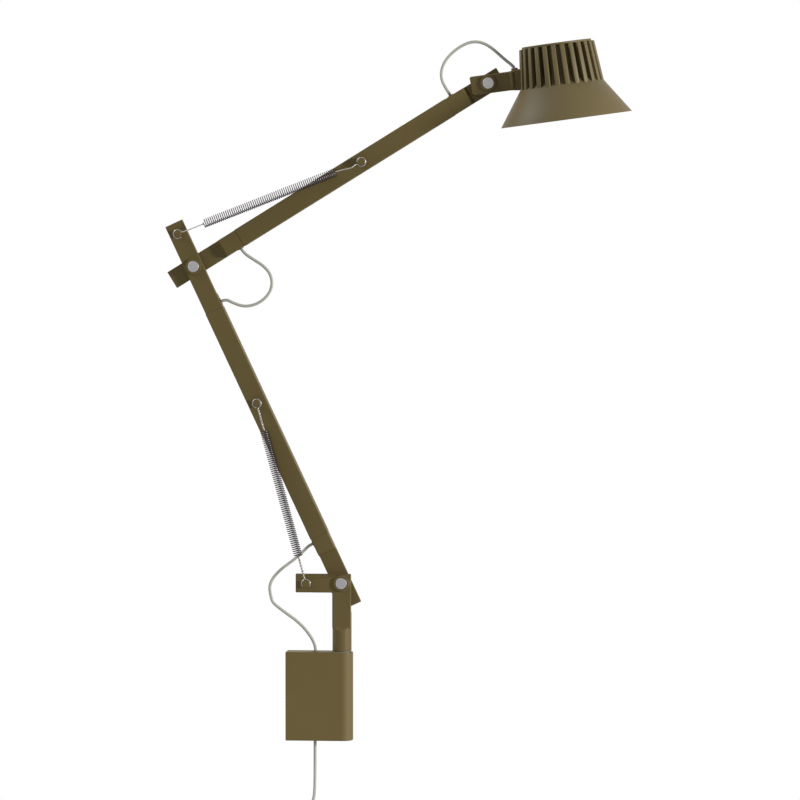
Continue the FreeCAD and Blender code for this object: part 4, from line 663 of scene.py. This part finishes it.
def dress(node, width):
    piece = newObject(camelName(node), frame["nodes"][node].data.copy())
    cleanMesh(piece, dressing["merge"], flatten=math.radians(dressing["flat"]))
    softenEdges(piece, width * mm, angle=dressing["softened"])
    shading = piece.modifiers.new("flatShading", "WEIGHTED_NORMAL")
    shading.keep_sharp = True
    shadeByAngle(piece, dressing["sharp"])
    applyModifiers(piece)
    # the box housing takes the lighter copy of the bronze paint: painted light
    finish(piece, slotOf[node], node, paint=boxPaint if node == "box_housing" else None)
    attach(piece, bodyOf[node])


for node, width in softEdges.items():
    dress(node, width)
print("dressed pieces made")


# Springs: a close coil between two hooks, each hook a ring round its peg.
spring = {
    "coilRadius": 5.0 * mm,
    "wire": 1.25 * mm,
    "pitch": 2.6 * mm,
    "pointsPerTurn": 14,
    "closingTurn": 0.4,  # the part of a turn in which the coil closes to its axis
    "hook": 35.0 * mm,
    "hookWire": 1.45 * mm,
    "hookSmoothness": 4,
    "ringRadius": 5.4 * mm,
    "ringSteps": 18,
    "front": -14.5 * mm,
    "sides": 8,
    "bendFrom": 0.03,  # where a bend of the coil would start and end
    "bendTo": 0.33,
}
shank = {  # the wire between ring and coil, either bowed or two wires twisted together
    "bowed": [(3.0, 0.3), (8.0, 1.0), (15.0, 0.6)],  # millimetres past the ring, share of the bow
    "straight": 6.0 * mm,
    "overlap": 0.3 * mm,
    "twists": 4,
    "twistSteps": 40,
    "twistRadius": 0.48 * spring["hookWire"],
    "twistShort": 1.5 * mm,
}
hooks = {  # from where to where a ring runs, in degrees from the spring's axis, and a shank's bow
    "bracket": {"ring": (-149, 2), "bow": 0.0, "second": (124, 4)},
    "lower": {"ring": (338, 6), "bow": 0.0, "second": (64, 4)},
    "elbow": {"ring": (298, 4), "bow": 0.0, "second": None},
    "upper": {"ring": (345, 8), "bow": 2.6, "second": None},
}


def ringPoints(first, last):
    ring, count = spring["ringRadius"], spring["ringSteps"]
    angles = [math.radians(first + (last - first) * step / count) for step in range(count + 1)]
    return [(ring * math.cos(angle), ring * math.sin(angle), 0.0) for angle in angles]


def twistPoints(side):  # one of the two wires that are twisted into a shank
    ring, size, steps = spring["ringRadius"], shank["twistRadius"], shank["twistSteps"]
    route = []
    for step in range(1, steps + 1):
        angle = math.pi * side + fullTurn * shank["twists"] * step / steps
        along = ring + (spring["hook"] - ring - shank["twistShort"]) * step / steps
        route.append((along, size * math.cos(angle), size * math.sin(angle)))
    return route


# From the wire's free end round the peg and along the shank, in the spring end's own frame.
def hookPoints(shape):
    ring, hook, bow = spring["ringRadius"], spring["hook"], shape["bow"] * mm
    route = ringPoints(*shape["ring"])
    if shape["second"]:
        route += twistPoints(0)
    else:
        route += [(ring + past * mm, share * bow, 0.0) for past, share in shank["bowed"]]
        route.append((hook - shank["straight"], 0.0, 0.0))
    route.append((hook + shank["overlap"], 0.0, 0.0))
    return [Vector(point) for point in route]


def secondPoints(shape):  # the wire's end that comes back round the peg and up the shank
    return [Vector(point) for point in ringPoints(*shape["second"]) + twistPoints(1)]


def placed(points, place, axis):  # from a spring end's own frame to the lamp's
    up = axis.cross(Vector((0, 1, 0))).normalized()
    front = Vector((0, -1, 0))
    return [place + axis * point.x + up * point.y + front * point.z for point in points]


def coilPoints(near, far):
    axis = (far - near).normalized()
    body = (far - near).length - 2 * spring["hook"]
    turns = round(body / spring["pitch"])
    points = []
    for step in range(turns * spring["pointsPerTurn"] + 1):
        turn = step / spring["pointsPerTurn"]
        share = min(min(turn, turns - turn) / spring["closingTurn"], 1.0)
        size = spring["coilRadius"] * math.sin(share * math.pi / 2)
        angle = fullTurn * turn
        along = spring["hook"] + body * turn / turns
        points.append(Vector((along, size * math.cos(angle), size * math.sin(angle))))
    return placed(points, near, axis)


def wirePiece(name, wires, thickness, node, paint=None):
    whole = bmesh.new()
    for wire in wires:
        part = tubeMesh(name, wire, thickness / 2, spring["sides"])
        whole.from_mesh(part.data)
        bpy.data.objects.remove(part)
    mesh = bpy.data.meshes.new(name)
    whole.to_mesh(mesh)
    whole.free()
    mesh.shade_smooth()
    piece = newObject(name, mesh)
    finish(piece, "spring_steel", node, paint=paint)
    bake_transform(piece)


def pegPlace(node):
    low, high = (Vector(corner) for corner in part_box(node))
    middle = (low + high) / 2
    return Vector((middle.x, spring["front"], middle.z))


def addSpring(node, nearHook, farHook):
    near, far = pegPlace(nearHook + "_spring_peg"), pegPlace(farHook + "_spring_peg")
    way = (far - near).normalized()
    ends = ((near, way, hooks[nearHook]), (far, -way, hooks[farHook]))
    routes = [(place, axis, hookPoints(shape)) for place, axis, shape in ends]
    routes += [(place, axis, secondPoints(shape)) for place, axis, shape in ends if shape["second"]]
    wires = [
        placed(routePoints(route, spring["hookSmoothness"]), place, axis)
        for place, axis, route in routes
    ]
    name = camelName(node)
    coil = [coilPoints(near, far)]
    wirePiece(name, coil, spring["wire"], node)
    # the hooks take the lighter copy of the steel: painted highlight
    wirePiece(name + "Hooks", wires, spring["hookWire"], node, paint=litHookSteel)


addSpring("lower_spring", "bracket", "lower")
addSpring("upper_spring", "elbow", "upper")
print("springs made")


# Head: the casting is turned about the head's axis, its fins are repeated round it.
head = {
    "reach": 90.0 * mm,
    "sides": 156,
    "edge": 0.35 * mm,
    "finCount": 26,
    "finTop": 5.6 * mm,
    "finFoot": 6.1 * mm,
    "finTaper": 0.86,
    "finTurn": math.radians(-2.0),
    "finEdge": 0.7 * mm,
    "finSharp": 50,
}
seat = {"x": (-60, -40.2), "y": (-8.3, 8.3), "z": (-14.4, 12.5)}  # the bracket's place in the fins
rib = {  # the rounded upright rib where the bracket's plate meets its neck
    "x": (27.6, 33.0),
    "y": (-9.4, -5.0),
    "z": (-10.8, 10.8),
    "round": 2.2 * mm,
    "segments": 5,
}
headPlace = leaning("head_hinge", headTilt) @ Matrix.Translation(Vector((head["reach"], 0, 0)))


def lathe(name, profile, sides):  # turns a closed profile of (radius, height) about the z axis
    points, faces = [], []
    count = len(profile)
    for side in range(sides):
        angle = fullTurn * side / sides
        across, along = math.cos(angle), math.sin(angle)
        points += [(radius * across, radius * along, height) for radius, height in profile]
    for side in range(sides):
        here, beyond = side * count, (side + 1) % sides * count
        for corner in range(count):
            following = (corner + 1) % count
            faces.append((here + corner, beyond + corner, beyond + following, here + following))
    return meshFrom(name, points, faces)


def shadeCasting():
    profile = [
        (0.0, -14.0),
        (46.0, -14.0),
        (46.0, -22.9),
        (56.1, -22.9),
        (80.3, -58.0),
        (82.2, -58.0),
        (52.7, -15.2),
        (50.0, -13.4),
        (47.2, -10.6),
        (44.6, -6.8),
        (42.4, -2.2),
        (40.8, 3.0),
        (40.0, 8.5),
        (40.0, 35.4),
        (37.0, 35.4),
        (37.0, -9.0),
        (0.0, -9.0),
    ]
    scaled = [(radius * mm, height * mm) for radius, height in profile]
    casting = lathe("shadeCasting", scaled, head["sides"])
    cleanMesh(casting)
    softenEdges(casting, head["edge"])
    applyModifiers(casting)
    shadeByAngle(casting)
    casting.data.transform(headPlace)
    finish(casting, "shade_paint", "lamp_shade")
    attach(casting, "head")


def finTree(material):  # repeats its geometry round the z axis
    tree = bpy.data.node_groups.new("finRing", "GeometryNodeTree")
    tree.interface.new_socket("Geometry", in_out="INPUT", socket_type="NodeSocketGeometry")
    count = tree.interface.new_socket("Fin Count", in_out="INPUT", socket_type="NodeSocketInt")
    tree.interface.new_socket("Geometry", in_out="OUTPUT", socket_type="NodeSocketGeometry")
    nodes, links = tree.nodes, tree.links
    given = nodes.new("NodeGroupInput")
    points = nodes.new("GeometryNodePoints")
    links.new(given.outputs["Fin Count"], points.inputs["Count"])
    index = nodes.new("GeometryNodeInputIndex")
    middle = mathOn(nodes, links, "ADD", index.outputs[0], 0.5)
    share = mathOn(nodes, links, "DIVIDE", middle, given.outputs["Fin Count"])
    angle = mathOn(nodes, links, "MULTIPLY", share, fullTurn)
    turn = nodes.new("ShaderNodeCombineXYZ")
    links.new(angle, turn.inputs["Z"])
    copies = nodes.new("GeometryNodeInstanceOnPoints")
    links.new(points.outputs[0], copies.inputs["Points"])
    links.new(given.outputs["Geometry"], copies.inputs["Instance"])
    links.new(turn.outputs[0], copies.inputs["Rotation"])
    real = nodes.new("GeometryNodeRealizeInstances")
    links.new(copies.outputs[0], real.inputs[0])
    paint = nodes.new("GeometryNodeSetMaterial")
    paint.inputs["Material"].default_value = material
    links.new(real.outputs[0], paint.inputs["Geometry"])
    result = nodes.new("NodeGroupOutput")
    links.new(paint.outputs[0], result.inputs[0])
    return tree, count.identifier


def shadeFins():
    foot, top = head["finFoot"] / 2, head["finTop"] / 2
    side = [  # radius, height and half thickness of a fin's outline
        (38.5, -8.0, foot),
        (44.0, -13.2, foot),
        (52.5, -15.2, foot),
        (47.0, 35.4, top),
        (38.5, 35.4, top * head["finTaper"]),
    ]
    points = [(x * mm, way * half, z * mm) for way in (-1, 1) for x, z, half in side]
    count = len(side)
    faces = [tuple(range(count)), tuple(reversed(range(count, 2 * count)))]
    faces += [(i, i + count, (i + 1) % count + count, (i + 1) % count) for i in range(count)]
    fins = meshFrom("shadeFins", points, faces, smooth=False)
    cleanMesh(fins)
    softenEdges(fins, head["finEdge"])
    applyModifiers(fins)
    shadeByAngle(fins, head["finSharp"])
    fins.data.transform(Matrix.Rotation(head["finTurn"], 4, "Z"))
    ring = fins.modifiers.new("finRing", "NODES")
    ring.node_group, countSocket = finTree(litLampShadePaint)
    ring[countSocket] = head["finCount"]
    applyModifiers(fins)
    space = boxMesh("bracketSeat", seat["x"], seat["y"], seat["z"])
    notch = fins.modifiers.new("bracketNotch", "BOOLEAN")
    notch.operation = "DIFFERENCE"
    notch.solver = "EXACT"
    notch.object = space
    applyModifiers(fins)
    bpy.data.objects.remove(space)
    fins.data.transform(headPlace)
    finish(fins, "shade_paint", "lamp_shade")
    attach(fins, "head")


def bracketRib():
    bar = boxMesh("bracketRib", rib["x"], rib["y"], rib["z"])
    softenEdges(bar, rib["round"], segments=rib["segments"])
    applyModifiers(bar)
    shadeByAngle(bar)
    bar.data.transform(leaning("head_hinge", headTilt))
    finish(bar, "bronze_paint")
    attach(bar, "head")


shadeCasting()
shadeFins()
bracketRib()
print("head made")

bpy.context.view_layer.update()
